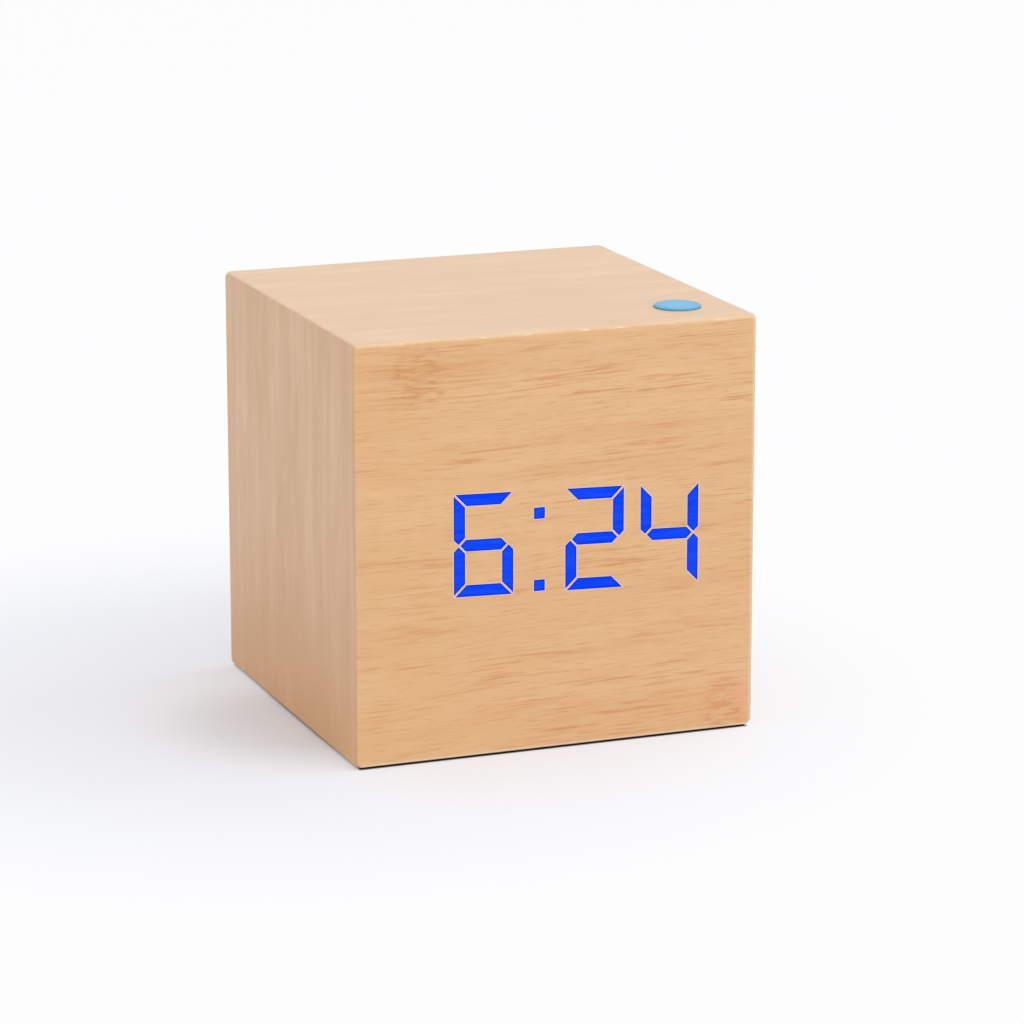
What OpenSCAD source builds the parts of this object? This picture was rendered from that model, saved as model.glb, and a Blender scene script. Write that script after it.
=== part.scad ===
// LED cube alarm clock: a wood-look cube with a light-through display, on a plastic base.
// Front faces -Y, right is +X, up is +Z. The origin is on the ground, under the middle of the case.

/* [Case] */
// Width of the case across its front
case_w = 68; // [66:0.5:80]
// Depth of the case from front to back
case_d = 65.5; // [64:0.5:80]
// Height of the case without its feet
case_h = 68; // [64:0.5:80]
// Thickness of the boards, with their finish
panel_t = 4.5; // [4:0.1:4.7]
// Thickness of the wood-grain film on the front
film_t = 0.4; // [0.3:0.05:0.6]
// Radius of the outer edges
edge_r = 0.55; // [0.2:0.05:1]
// Radius of the upper front edge
brow_r = 1.1; // [0.6:0.1:2]
// Reach of the rounding at the eight corners
corner_reach = 2.2; // [1:0.1:3]
// Height of the gap that the feet leave under the case
foot_rise = 0.35; // [0.2:0.05:1]

/* [Display] */
// Width of a digit
digit_w = 10; // [8.5:0.1:11]
// Height of a digit
digit_h = 16.6; // [13:0.1:18]
// Width of a segment
stroke = 1.9; // [1.4:0.02:2.2]
// Gap between neighbouring segments
segment_gap = 0.33; // [0.25:0.01:0.5]
// Distance from one digit to the next
digit_pitch = 12.88; // [11.5:0.02:13.4]
// Extra room between hours and minutes for the colon
colon_room = 5.96; // [4.5:0.02:7.5]
// Side of a colon dot
colon_dot = 1.86; // [1.6:0.02:2.4]
// Height of the upper colon dot above the middle of the row
colon_rise = 4.6; // [3:0.02:6]
// Height of the lower colon dot above the foot of the digits
colon_foot = 0.2; // [0:0.02:0.6]
// Offset of the display to the right of the case's middle
display_shift = 0.88; // [-1:0.02:2]
// Height of the display above the case's middle
display_lift = 0.05; // [-3:0.05:3]
// Fall of the digit row to the right, in degrees
display_slope = 1.95; // [0:0.05:3]
// Bare rim of the segment mask around the digits
mask_rim = 1.9; // [1.5:0.1:2.2]
// Thickness of the mask's flange
mask_flange_t = 2; // [1.5:0.1:3]
// Thickness of the diffuser sheet
diffuser_t = 0.25; // [0.2:0.05:0.5]

/* [Top button] */
// Diameter of the button
top_button_d = 7.6; // [6:0.1:8]
// Height of the button above the top
top_button_rise = 0.4; // [0.3:0.05:1]
// Distance from the right side to the button's middle
top_button_from_right = 9.4; // [9.4:0.1:14]
// Distance from the front to the button's middle
top_button_from_front = 10.3; // [9.15:0.05:14]

/* [Rear controls] */
// Width of the control plate's visible face
control_w = 38; // [37:0.5:39]
// Height of the control plate's visible face
control_h = 12; // [11:0.5:13]
// Depth of the control plate's face below the rear panel's surface
control_recess = 0.8; // [0.6:0.05:1.5]
// Height of the control row above the case's lower edge
control_lift = 26; // [25:0.5:28]
// Diameter of a rear button
button_d = 5; // [4:0.1:5.4]
// Distance between rear buttons
button_pitch = 8; // [7.6:0.1:8.2]
// Height of a rear button above the control plate
button_rise = 0.4; // [0.3:0.05:0.6]
// Diameter of the power socket's mouth
socket_d = 6.2; // [5.8:0.1:6.6]
// Length of the power socket's mouth in front of its pin
socket_mouth = 3; // [2.5:0.1:4]

/* [Switches] */
// Side of a tact switch
switch_w = 6; // [5:0.1:6.2]
// Height of a tact switch's body
switch_h = 3.5; // [3.2:0.1:4]
// Diameter of a tact switch's plunger
plunger_d = 3.5; // [2.5:0.1:3.6]
// Height of the plunger above the switch body
plunger_rise = 1; // [0.8:0.1:1.5]
// Travel of every button
switch_travel = 0.3; // [0.2:0.05:0.4]

/* [Base] */
// Thickness of the battery door
door_t = 2; // [1.8:0.1:2.6]
// Thickness of the battery bay's walls
bay_wall = 1.5; // [1.2:0.1:1.8]
// Diameter of the door's hinge pins
hinge_pin_d = 1.2; // [0.8:0.1:1.3]
// Diameter of a foot
foot_d = 8; // [6:0.5:8.5]
// Thickness of a foot
foot_t = 1.5; // [1.3:0.1:2]
// Height of the wooden blocks that hold the base screws
block_h = 8; // [7.5:0.5:12]

/* [Cells] */
// Diameter of a cell
cell_d = 10.5; // [9.8:0.1:10.6]
// Length of a cell, with its positive nub
cell_l = 44.5; // [43:0.1:44.5]
// Length of a contact spring, pressed by its cell
spring_l = 4.7; // [4.2:0.1:4.8]
// Diameter of the spring wire
spring_wire = 0.5; // [0.4:0.05:0.6]
// Thickness of the contact plates
contact_t = 0.4; // [0.3:0.05:0.5]

/* [Boards, screws and leads] */
// Thickness of the circuit boards
board_t = 1.6; // [1:0.1:1.8]
// Diameter of the screws
screw_d = 2; // [1.6:0.1:2.2]
// Depth to which the screws enter the panels
screw_bite = 3; // [2:0.1:3.2]
// Diameter of a lead
lead_d = 1.3; // [0.8:0.1:1.5]

/* [Fits] */
// Radial clearance of everything that runs in a hole
running_gap = 0.06; // [0.03:0.01:0.1]
// Clearance around the battery door, and around plates in their openings
side_gap = 0.2; // [0.15:0.05:0.3]
// Clearance behind flanges and above the door
seat_gap = 0.15; // [0.1:0.05:0.2]
// Radial clearance of screws in their holes
screw_gap = 0.05; // [0.02:0.01:0.1]

/* [Hidden] */
$fn = 48;

// Case planes
half_w = case_w / 2;
half_d = case_d / 2;
floor_z = foot_rise;
roof_z = floor_z + case_h;
inner_x = half_w - panel_t;
inner_y = half_d - panel_t;
inner_z = roof_z - panel_t;
cut = 1;

// Screws
screw_r = screw_d / 2;
screw_hole_r = screw_r + screw_gap;
head_r = 1.9 * screw_r;
head_h = 0.7 * screw_d;

// Base plate, battery bay and door
ledge_t = 0.4;
base_t = door_t + seat_gap + ledge_t;
base_x = inner_x - side_gap;
base_y = inner_y - side_gap;
cell_r = cell_d / 2;
cell_gap = 0.4;
cell_pitch = cell_d + cell_gap;
cell_xs = [-cell_pitch, 0, cell_pitch];
cell_lift = 0.3;
cell_z = floor_z + door_t + cell_lift + cell_r;
nub_r = 1.9;
nub_l = 1;
bay_w = 3 * cell_pitch + cell_gap;
bay_l = cell_l + spring_l + 2 * contact_t;
cell_headroom = 0.7;
bay_ceiling = cell_z + cell_r + cell_headroom;
bay_top = bay_ceiling + bay_wall;
door_lap = 0.8;
door_w = bay_w + 2 * door_lap;
recess_x = door_w / 2 + side_gap;
hinge_y = -bay_l / 2 + door_lap;
hinge_z = floor_z + door_t / 2;
hinge_pin_r = hinge_pin_d / 2;
hinge_pin_l = 1.6;
door_end_y = bay_l / 2 + door_lap;
slit_w = 0.8;
slit_l = 8;
tongue_w = 10;
grip_w = 0.8;
grip_depth = 0.4;
grip_count = 3;
nose_w = 8;
nose_reach = 0.45;
nose_z = [1.1, 1.8];
catch_gap = 0.1;
catch_z = [0.2, 0.8];
notch_l = 1;
foot_r = foot_d / 2;
foot_fit = 0.1;
foot_hinge_gap = 1;
foot_x = (recess_x + base_x) / 2;
foot_y = -hinge_y - hinge_pin_r - foot_hinge_gap - foot_r;
block_w = 8;
block_l = 26;
base_screw_inset = 5;
base_screw_x = inner_x - base_screw_inset;
base_screw_y = 9;
base_screw_bite = 6;
head_sink = head_h + side_gap;

// Battery contacts
contact_w = 8;
contact_h = 7;
tab_w = 3;
tab_rise = 3;
tab_slot = 0.4;
spring_turns = 3;
spring_rings = 8;
spring_sides = 6;
spring_base_r = 3.4;
spring_tip_r = 2.2;
spring_lift = 0.02;

// Display row, from its left edge at the leading one to its right edge at the minutes
row_w = stroke + 3 * digit_pitch + colon_room;
hours_x = display_shift - row_w / 2 + stroke + digit_pitch - digit_w;
tens_x = hours_x + digit_pitch + colon_room;
units_x = tens_x + digit_pitch;
colon_x = (hours_x + digit_w + tens_x) / 2;
row_z = floor_z + case_h / 2 + display_lift;
digit_top = digit_h / 2;
colon_zs = [colon_rise, colon_foot + colon_dot / 2 - digit_top];
mitre_gap = segment_gap / sqrt(2);
tip_x = 0.42 * stroke;
tip_z = segment_gap / 2;
bar_tip = tip_x - tip_z + segment_gap * sqrt(2);

// Outlines of the segments of one digit, with the digit's left side at 0 and its middle at 0
top_bar = [
    [mitre_gap, digit_top],
    [digit_w - mitre_gap, digit_top],
    [digit_w - stroke - mitre_gap, digit_top - stroke],
    [stroke + mitre_gap, digit_top - stroke]
];
upper_left_bar = [
    [0, digit_top - mitre_gap],
    [stroke, digit_top - stroke - mitre_gap],
    [stroke, tip_z + stroke - tip_x],
    [tip_x, tip_z],
    [0, tip_z + tip_x]
];
middle_bar = [
    [bar_tip, 0],
    [bar_tip + stroke / 2, stroke / 2],
    [digit_w - bar_tip - stroke / 2, stroke / 2],
    [digit_w - bar_tip, 0],
    [digit_w - bar_tip - stroke / 2, -stroke / 2],
    [bar_tip + stroke / 2, -stroke / 2]
];

// Each digit as its left side and its segments, lettered clockwise from the top, with the middle as g
digits = [
    [hours_x - digit_pitch, "bc"],
    [hours_x, "abcdefg"],
    [tens_x, "abcdefg"],
    [units_x, "abcdefg"]
];
lit_hours_digit = [hours_x, "acdefg"];
lit_tens_digit = [tens_x, "abdeg"];
lit_units_digit = [units_x, "bcfg"];

// Display stack, from the film inwards
film_y = -half_d + film_t;
mask_front_y = film_y + diffuser_t;
panel_back_y = -inner_y;
led_board_y = panel_back_y + mask_flange_t;
led_board_back_y = led_board_y + board_t;
window_w = row_w + 2 * mask_rim;
window_h = digit_h + 2 * mask_rim;
window_r = 1.5;
led_board_gap = 1.6;
mask_w = 2 * (inner_x - abs(display_shift) - led_board_gap);
mask_h = 2 * (row_z - bay_top - tab_rise - led_board_gap);
mask_screw_inset = (mask_h - window_h) / 4;
led_l = 1.6;
led_w = 0.8;
led_h = 0.6;

// Top button and its switch
top_button_r = top_button_d / 2;
button_flange_lip = 0.5;
button_flange_t = 1;
button_crown = 0.25;
top_x = half_w - top_button_from_right;
top_y = -half_d + top_button_from_front;
top_flange_z = inner_z - seat_gap;
top_plunger_z = top_flange_z - button_flange_t;
top_switch_z = top_plunger_z - plunger_rise;
top_board_z = top_switch_z - switch_h;
plunger_r = plunger_d / 2;
plunger_depth = 0.6;
plunger_floor_gap = 0.1;
plunger_well = plunger_depth + switch_travel + plunger_floor_gap;
top_board_left = 11;
top_board_right = 3.9;
top_board_front = 3.5;
top_board_rear = 9.4;
spacer_r = 2;
spacer_y = 7;
spacer_xs = [-8.6, 1.6];

// Rear controls, from the rear face inwards
control_z = floor_z + control_lift;
control_face_y = half_d - control_recess;
control_flange_t = 1.5;
control_flange_y = inner_y - control_flange_t;
control_flange_side = 6;
control_flange_end = 2;
control_corner_r = 2;
button_r = button_d / 2;
button_end_y = control_face_y + button_rise;
button_flange_y = control_flange_y - seat_gap;
button_plunger_y = button_flange_y - button_flange_t;
switch_top_y = button_plunger_y - plunger_rise;
main_board_y = switch_top_y - switch_h;
set_button_x = -14;
button_xs = [for (i = [0 : 2]) set_button_x + i * button_pitch];
socket_x = 12.5;
socket_barrel_r = 4.4;
socket_base_w = 9.6;
socket_base_y = control_flange_y - seat_gap;
socket_step = 0.2;
socket_bore_r = socket_d / 2 - socket_step;
socket_floor = 2;
socket_pin_r = 1;
socket_pin_start = 0.4;
post_r = 2.2;
post_z = 5.5;
post_gap = 1.1;
post_x = control_w / 2 + post_gap + post_r;
mark_z = 4.3;
mark_r = 0.8;
mark_depth = 0.3;

// Main board
board_rim = 1;
board_half_w = post_x + post_r + board_rim;
board_bottom_z = control_z - post_z - post_r - board_rim / 2;
board_h = 34;
board_top_z = board_bottom_z + board_h;
main_front_y = main_board_y - board_t;
buzzer_r = 6;
buzzer_rise = 18;
buzzer_z = control_z + buzzer_rise;
buzzer_gap = 0.75;
buzzer_port_r = 1;
buzzer_port_depth = 2;
sound_hole_r = 0.7;
sound_hole_ring = 2.6;
chip_w = 12.8;
chip_h = 7.5;
chip_t = 2.3;
chip_x = -10;
chip_rise = 9;
chip_z = control_z + chip_rise;
chip_legs = 10;
leg_pitch = 1.27;
leg_w = 0.45;
leg_reach = 1.5;
leg_h = 0.9;
crystal_x = 5.5;
crystal_rise = 11;
crystal_z = control_z + crystal_rise;
crystal_r = 2.3;
crystal_l = 6.4;
crystal_t = 3.5;
capacitor_r = 2.5;
capacitor_h = 6;
capacitor_x = 15;
capacitor_rise = 6;
capacitor_pitch = 6;
capacitor_zs = [for (i = [0 : 1]) control_z + capacitor_rise + i * capacitor_pitch];

// Leads
lead_r = lead_d / 2;
lead_sides = 8;
lead_steps = 14;
lead_stub = 1;
lead_reach = inner_y / 2;
ribbon_w = 12;
ribbon_t = 0.9;
ribbon_led_rise = 5;
ribbon_led_z = row_z + ribbon_led_rise;
ribbon_main_rise = 22;
ribbon_main_z = control_z + ribbon_main_rise;
tab_lead_z = bay_top + tab_rise / 2;
power_pad_x = 16;
power_pad_drop = 4;
power_pad_z = control_z - power_pad_drop;
switch_pad_x = 18;
switch_pad_rise = 20;
switch_pad_z = control_z + switch_pad_rise;
switch_lead_r = 0.4 * lead_d;
switch_lead_left = 6;
switch_lead_back = 5;
switch_lead_x = top_x - switch_lead_left;
switch_lead_y = top_y + switch_lead_back;

// Linear extrusions along Y and X of outlines drawn in the XZ and YZ planes
module along_y(y_low, y_high) {
    translate([0, y_high, 0])
        rotate([90, 0, 0])
            linear_extrude(y_high - y_low) children();
}

module along_x(x_low, x_high) {
    translate([x_low, 0, 0])
        rotate([90, 0, 90])
            linear_extrude(x_high - x_low) children();
}

module rod_y(r, y_low, y_high) {
    along_y(y_low, y_high) circle(r);
}

module rod_x(r, x_low, x_high) {
    along_x(x_low, x_high) circle(r);
}

// Box between two opposite corners
module box(low, high) {
    translate(low) cube(high - low);
}

// Rectangle about the origin with round corners
module round_rect(w, h, r) {
    square([w - 2 * r, h], center = true);
    square([w, h - 2 * r], center = true);
    for (x = [-1, 1], y = [-1, 1])
        translate([x * (w / 2 - r), y * (h / 2 - r)]) circle(r);
}

// Pan-head screw with a cross recess: its head under Z = 0, its shank above
module screw(l) {
    slot_w = 0.3 * screw_d;
    slot_l = 1.1 * head_r;
    slot_h = 0.5 * head_h;
    difference() {
        union() {
            translate([0, 0, -head_h]) cylinder(r = head_r, h = head_h);
            cylinder(r = screw_r, h = l);
        }
        for (turn = [0, 90])
            rotate([0, 0, turn])
                translate([0, 0, -head_h]) cube([slot_l, slot_w, 2 * slot_h], center = true);
    }
}

// Solid swept along a path: its profile is in the plane across the path, turned by a reference direction
function unit(v) = v / norm(v);
function swept_points(path, profile, reference) = [
    for (i = [0 : len(path) - 1])
        let (
            before = path[max(i - 1, 0)],
            after = path[min(i + 1, len(path) - 1)],
            ahead = unit(after - before),
            side = unit(cross(reference, ahead)),
            up = cross(ahead, side)
        )
        for (p = profile) path[i] + p[0] * side + p[1] * up
];

module sweep(path, profile, reference) {
    m = len(profile);
    last = (len(path) - 1) * m;
    start_cap = [for (j = [0 : m - 1]) j];
    end_cap = [for (j = [m - 1 : -1 : 0]) last + j];
    walls = [
        for (i = [0 : m : last - m], j = [0 : m - 1])
            let (k = (j + 1) % m)
            each [[i + j, i + m + j, i + m + k], [i + j, i + m + k, i + k]]
    ];
    polyhedron(swept_points(path, profile, reference), concat([start_cap, end_cap], walls));
}

function ring(r, sides) = [for (k = [0 : sides - 1]) r * [cos(360 * k / sides), sin(360 * k / sides)]];

// Path of a lead that leaves two ends straight, each in its own direction, with a smooth bend between
function bend(a, b, c, d, t) =
    pow(1 - t, 3) * a + 3 * t * pow(1 - t, 2) * b + 3 * t * t * (1 - t) * c + pow(t, 3) * d;
function lead_path(start, start_way, finish, finish_way, reach) = [
    start,
    for (k = [0 : lead_steps])
        bend(
            start + lead_stub * start_way,
            start + reach * start_way,
            finish + reach * finish_way,
            finish + lead_stub * finish_way,
            k / lead_steps
        ),
    finish
];

// Side view of the case about its middle, with the upper front corner rounder than the rest
module side_outline() {
    difference() {
        round_rect(case_d, case_h, edge_r);
        translate([-half_d - cut, case_h / 2 - brow_r]) square(brow_r + cut);
    }
    translate([brow_r - half_d, case_h / 2 - brow_r]) circle(brow_r);
}

// What sanding takes off a corner of the case, outside a ball that touches its three edges
module corner_waste(x, y, z) {
    difference() {
        translate((corner_reach + cut) / 2 * [x, y, z]) cube(corner_reach + cut, center = true);
        sphere(sqrt(2) * corner_reach);
    }
}

// Case: one rounded block, shared out among the panels along mitres
module case_block() {
    translate([0, 0, floor_z + case_h / 2]) difference() {
        intersection() {
            translate([0, 0, -case_h / 2]) linear_extrude(case_h) round_rect(case_w, case_d, edge_r);
            along_y(-half_d, half_d) round_rect(case_w, case_h, edge_r);
            along_x(-half_w, half_w) side_outline();
        }
        for (x = [-1, 1], y = [-1, 1], z = [-1, 1])
            translate([
                x * (half_w - corner_reach),
                y * (half_d - corner_reach),
                z * (case_h / 2 - corner_reach)
            ])
                corner_waste(x, y, z);
    }
}

// Share of a wall that faces -Y at Y = 0, between two depths, mitred at its sides and its top
module wall_share(half, near, far) {
    intersection() {
        translate([0, 0, floor_z - cut])
            linear_extrude(case_h + 3 * cut)
                polygon([[near - half, near], [half - near, near], [half - far, far], [far - half, far]]);
        along_x(-half - cut, half + cut)
            polygon([
                [near, floor_z - cut],
                [near, roof_z - near],
                [far, roof_z - far],
                [far, floor_z - cut]
            ]);
    }
}

module front_film() {
    color("#e6b98c") difference() {
        intersection() {
            case_block();
            translate([0, -half_d, 0]) wall_share(half_w, -cut, film_t);
        }
        along_y(-half_d - cut, film_y + cut) {
            segments(lit_hours_digit);
            segments(lit_tens_digit);
            segments(lit_units_digit);
            colon();
        }
    }
}

module front_panel() {
    color("#c9a277") difference() {
        intersection() {
            case_block();
            translate([0, -half_d, 0]) wall_share(half_w, film_t, panel_t);
        }
        at_display() along_y(film_y - cut, panel_back_y + cut)
            round_rect(window_w + 2 * side_gap, window_h + 2 * side_gap, window_r);
        at_mask_screws() rod_y(screw_hole_r, panel_back_y - screw_bite - cut / 2, panel_back_y + cut);
    }
}

module top_panel() {
    far = panel_t;
    near = -cut;
    color("#eacfb4") difference() {
        intersection() {
            case_block();
            along_y(-half_d - cut, half_d + cut)
                polygon([
                    [near - half_w, roof_z - near],
                    [half_w - near, roof_z - near],
                    [half_w - far, roof_z - far],
                    [far - half_w, roof_z - far]
                ]);
            along_x(-half_w - cut, half_w + cut)
                polygon([
                    [near - half_d, roof_z - near],
                    [half_d - near, roof_z - near],
                    [half_d - far, roof_z - far],
                    [far - half_d, roof_z - far]
                ]);
        }
        translate([top_x, top_y, inner_z - cut])
            cylinder(r = top_button_r + running_gap, h = panel_t + 2 * cut);
        at_top_spacers()
            translate([0, 0, inner_z - cut]) cylinder(r = screw_hole_r, h = screw_bite + 1.5 * cut);
    }
}

module left_panel() {
    color("#d1af95") intersection() {
        case_block();
        translate([-half_w, 0, 0]) rotate([0, 0, -90]) wall_share(half_d, -cut, panel_t);
    }
}

module right_panel() {
    color("#d1af95") intersection() {
        case_block();
        translate([half_w, 0, 0]) rotate([0, 0, 90]) wall_share(half_d, -cut, panel_t);
    }
}

module rear_panel() {
    color("#e0b285") difference() {
        intersection() {
            case_block();
            translate([0, half_d, 0]) rotate([0, 0, 180]) wall_share(half_w, -cut, panel_t);
        }
        at_controls() along_y(inner_y - cut, half_d + cut)
            round_rect(control_w + 2 * side_gap, control_h + 2 * side_gap, control_corner_r + side_gap);
        at_control_screws() rod_y(screw_hole_r, inner_y - cut, inner_y + screw_bite + cut / 2);
        translate([0, 0, buzzer_z])
            for (p = concat([[0, 0]], ring(sound_hole_ring, 6)))
                translate([p[0], 0, p[1]]) rod_y(sound_hole_r, inner_y - cut, half_d + cut);
    }
}

// Display
function flip_x(points) = [for (p = points) [digit_w - p[0], p[1]]];
function flip_z(points) = [for (p = points) [p[0], -p[1]]];
function segment(letter) =
    letter == "a" ? top_bar :
    letter == "b" ? flip_x(upper_left_bar) :
    letter == "c" ? flip_x(flip_z(upper_left_bar)) :
    letter == "d" ? flip_z(top_bar) :
    letter == "e" ? flip_z(upper_left_bar) :
    letter == "f" ? upper_left_bar :
    middle_bar;

// Height of the digit row's middle at a place along it
function row_height(x) = row_z - x * tan(display_slope);
function on_row(points, x) = [for (p = points) [x + p[0], row_height(x + p[0]) + p[1]]];
function middle(points) = [for (p = points) 1] * points / len(points);

module segments(digit) {
    for (letter = digit[1])
        polygon(on_row(segment(letter), digit[0]));
}

module colon() {
    for (z = colon_zs)
        translate([colon_x, row_height(colon_x) + z]) square(colon_dot, center = true);
}

module at_display() {
    translate([display_shift, 0, row_z]) children();
}

module at_mask_screws() {
    screw_x = mask_w / 2 - mask_screw_inset;
    screw_z = mask_h / 2 - mask_screw_inset;
    at_display()
        for (x = [-1, 1], z = [-1, 1])
            translate([x * screw_x, 0, z * screw_z]) children();
}

module lit_hours() {
    color("#1444ff") along_y(-half_d, film_y) segments(lit_hours_digit);
}

module lit_colon() {
    color("#1444ff") along_y(-half_d, film_y) colon();
}

module lit_tens() {
    color("#1444ff") along_y(-half_d, film_y) segments(lit_tens_digit);
}

module lit_units() {
    color("#1444ff") along_y(-half_d, film_y) segments(lit_units_digit);
}

module diffuser_sheet() {
    color("#f4f4f0") at_display() along_y(film_y, mask_front_y) round_rect(window_w, window_h, window_r);
}

module segment_mask() {
    color("#f2f2f2") difference() {
        union() {
            at_display() along_y(mask_front_y, panel_back_y) round_rect(window_w, window_h, window_r);
            at_display() along_y(panel_back_y, led_board_y) square([mask_w, mask_h], center = true);
        }
        along_y(mask_front_y - cut, led_board_y + cut) {
            for (digit = digits)
                segments(digit);
            colon();
        }
        at_mask_screws() rod_y(screw_hole_r, panel_back_y - cut, led_board_y + cut);
    }
}

module led_board() {
    color("#1f6b3a") difference() {
        at_display() along_y(led_board_y, led_board_back_y) square([mask_w, mask_h], center = true);
        at_mask_screws() rod_y(screw_hole_r, led_board_y - cut, led_board_back_y + cut);
    }
}

module led_chip(upright) {
    along_y(led_board_y - led_h, led_board_y)
        square(upright ? [led_w, led_l] : [led_l, led_w], center = true);
}

module segment_leds() {
    color("#f0e6b4") {
        for (digit = digits, letter = digit[1]) {
            place = middle(on_row(segment(letter), digit[0]));
            flat = letter == "a" || letter == "d" || letter == "g";
            translate([place[0], 0, place[1]]) led_chip(!flat);
        }
        for (z = colon_zs)
            translate([colon_x, 0, row_height(colon_x) + z]) led_chip(false);
    }
}

module led_board_screws() {
    color("#b9bcc0") at_mask_screws()
        translate([0, led_board_back_y, 0])
            rotate([90, 0, 0]) screw(board_t + mask_flange_t + screw_bite);
}

// Top button: the cap is held under the panel by its flange and rests on the switch's plunger
module at_top_spacers() {
    for (x = spacer_xs)
        translate([top_x + x, top_y + spacer_y, 0]) children();
}

// Button standing on Z = 0, with a flange at its foot and a rounded edge at its crown
module button_cap(r, h) {
    rotate_extrude() {
        square([r + button_flange_lip, button_flange_t]);
        square([r, h - button_crown]);
        square([r - button_crown, h]);
        translate([r - button_crown, h - button_crown]) circle(button_crown);
    }
}

module top_button() {
    color("#7fc0ea") translate([top_x, top_y, top_plunger_z])
        button_cap(top_button_r, roof_z + top_button_rise - top_plunger_z);
}

// Plunger and switch standing on Z = 0, the switch's mounting face
module plunger() {
    translate([0, 0, switch_h - plunger_depth]) cylinder(r = plunger_r, h = plunger_depth + plunger_rise);
}

module switch_body() {
    difference() {
        translate([0, 0, switch_h / 2]) cube([switch_w, switch_w, switch_h], center = true);
        translate([0, 0, switch_h - plunger_well])
            cylinder(r = plunger_r + running_gap, h = plunger_well + cut);
    }
}

module top_switch_plunger() {
    color("#2a2a2a") translate([top_x, top_y, top_board_z]) plunger();
}

module top_switch() {
    color("#b9bcc0") translate([top_x, top_y, top_board_z]) switch_body();
}

module top_switch_board() {
    color("#1f6b3a") difference() {
        box(
            [top_x - top_board_left, top_y - top_board_front, top_board_z - board_t],
            [top_x + top_board_right, top_y + top_board_rear, top_board_z]
        );
        at_top_spacers()
            translate([0, 0, top_board_z - board_t - cut]) cylinder(r = screw_hole_r, h = board_t + 2 * cut);
    }
}

module top_switch_spacers() {
    color("#e8e8e4") at_top_spacers() difference() {
        translate([0, 0, top_board_z]) cylinder(r = spacer_r, h = inner_z - top_board_z);
        translate([0, 0, top_board_z - cut]) cylinder(r = screw_hole_r, h = inner_z - top_board_z + 2 * cut);
    }
}

module top_switch_screws() {
    color("#b9bcc0") at_top_spacers()
        translate([0, 0, top_board_z - board_t]) screw(board_t + inner_z - top_board_z + screw_bite);
}

// Rear controls
module at_controls() {
    translate([0, 0, control_z]) children();
}

module at_control_screws() {
    at_controls()
        for (x = [-1, 1])
            translate([x * post_x, 0, 0]) children();
}

module at_posts() {
    at_controls()
        for (x = [-1, 1], z = [-1, 1])
            translate([x * post_x, 0, z * post_z]) children();
}

module at_button(i) {
    at_controls() translate([button_xs[i], 0, 0]) children();
}

module at_socket() {
    at_controls() translate([socket_x, 0, 0]) children();
}

module control_plate() {
    flange_w = control_w + 2 * control_flange_side;
    flange_h = control_h + 2 * control_flange_end;
    color("#1c1c1e") difference() {
        union() {
            at_controls() along_y(inner_y, control_face_y) round_rect(control_w, control_h, control_corner_r);
            at_controls() along_y(control_flange_y, inner_y) square([flange_w, flange_h], center = true);
            at_posts() rod_y(post_r, main_board_y, control_flange_y);
        }
        for (i = [0 : 2])
            at_button(i) rod_y(button_r + running_gap, control_flange_y - cut, control_face_y + cut);
        at_socket() rod_y(socket_barrel_r + side_gap, control_flange_y - cut, control_face_y + cut);
        at_posts() rod_y(screw_hole_r, main_board_y - cut, control_flange_y + cut / 2);
        at_control_screws() rod_y(screw_hole_r, control_flange_y - cut, inner_y + cut);
        for (i = [0 : 2])
            at_button(i) translate([0, 0, mark_z])
                along_y(control_face_y - mark_depth, control_face_y + cut) control_mark(i);
    }
}

// Marks above the buttons: a dot for set, triangles for up and down
module control_mark(i) {
    if (i == 0) circle(0.8 * mark_r);
    else rotate(i == 1 ? 90 : -90) circle(mark_r, $fn = 3);
}

module control_plate_screws() {
    color("#b9bcc0") at_control_screws()
        translate([0, control_flange_y, 0])
            rotate([-90, 0, 0]) screw(control_flange_t + screw_bite);
}

module rear_button(i) {
    color("#2b2b2e") at_button(i)
        translate([0, button_plunger_y, 0])
            rotate([-90, 0, 0]) button_cap(button_r, button_end_y - button_plunger_y);
}

module rear_plunger(i) {
    color("#4a4a4c") at_button(i) translate([0, main_board_y, 0]) rotate([-90, 0, 0]) plunger();
}

module rear_switch(i) {
    color("#b9bcc0") at_button(i) translate([0, main_board_y, 0]) rotate([-90, 0, 0]) switch_body();
}

module set_button() {
    rear_button(0);
}

module up_button() {
    rear_button(1);
}

module down_button() {
    rear_button(2);
}

module set_plunger() {
    rear_plunger(0);
}

module up_plunger() {
    rear_plunger(1);
}

module down_plunger() {
    rear_plunger(2);
}

module set_switch() {
    rear_switch(0);
}

module up_switch() {
    rear_switch(1);
}

module down_switch() {
    rear_switch(2);
}

module dc_socket() {
    color("#161616") at_socket() difference() {
        union() {
            translate([-socket_base_w / 2, main_board_y, -socket_base_w / 2])
                cube([socket_base_w, socket_base_y - main_board_y, socket_base_w]);
            rod_y(socket_barrel_r, socket_base_y - cut, control_face_y);
        }
        rod_y(socket_d / 2, control_face_y - socket_mouth, control_face_y + cut);
        rod_y(socket_bore_r, main_board_y + socket_floor, control_face_y);
    }
}

module dc_socket_pin() {
    color("#c9b36a") at_socket()
        rod_y(socket_pin_r, main_board_y + socket_floor, control_face_y - socket_mouth - socket_pin_start);
}

// Main board
module main_board() {
    color("#1f6b3a") difference() {
        box([-board_half_w, main_front_y, board_bottom_z], [board_half_w, main_board_y, board_top_z]);
        at_posts() rod_y(screw_hole_r, main_front_y - cut, main_board_y + cut);
    }
}

module main_board_screws() {
    color("#b9bcc0") at_posts()
        translate([0, main_front_y, 0])
            rotate([-90, 0, 0]) screw(board_t + control_flange_y - main_board_y);
}

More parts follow.
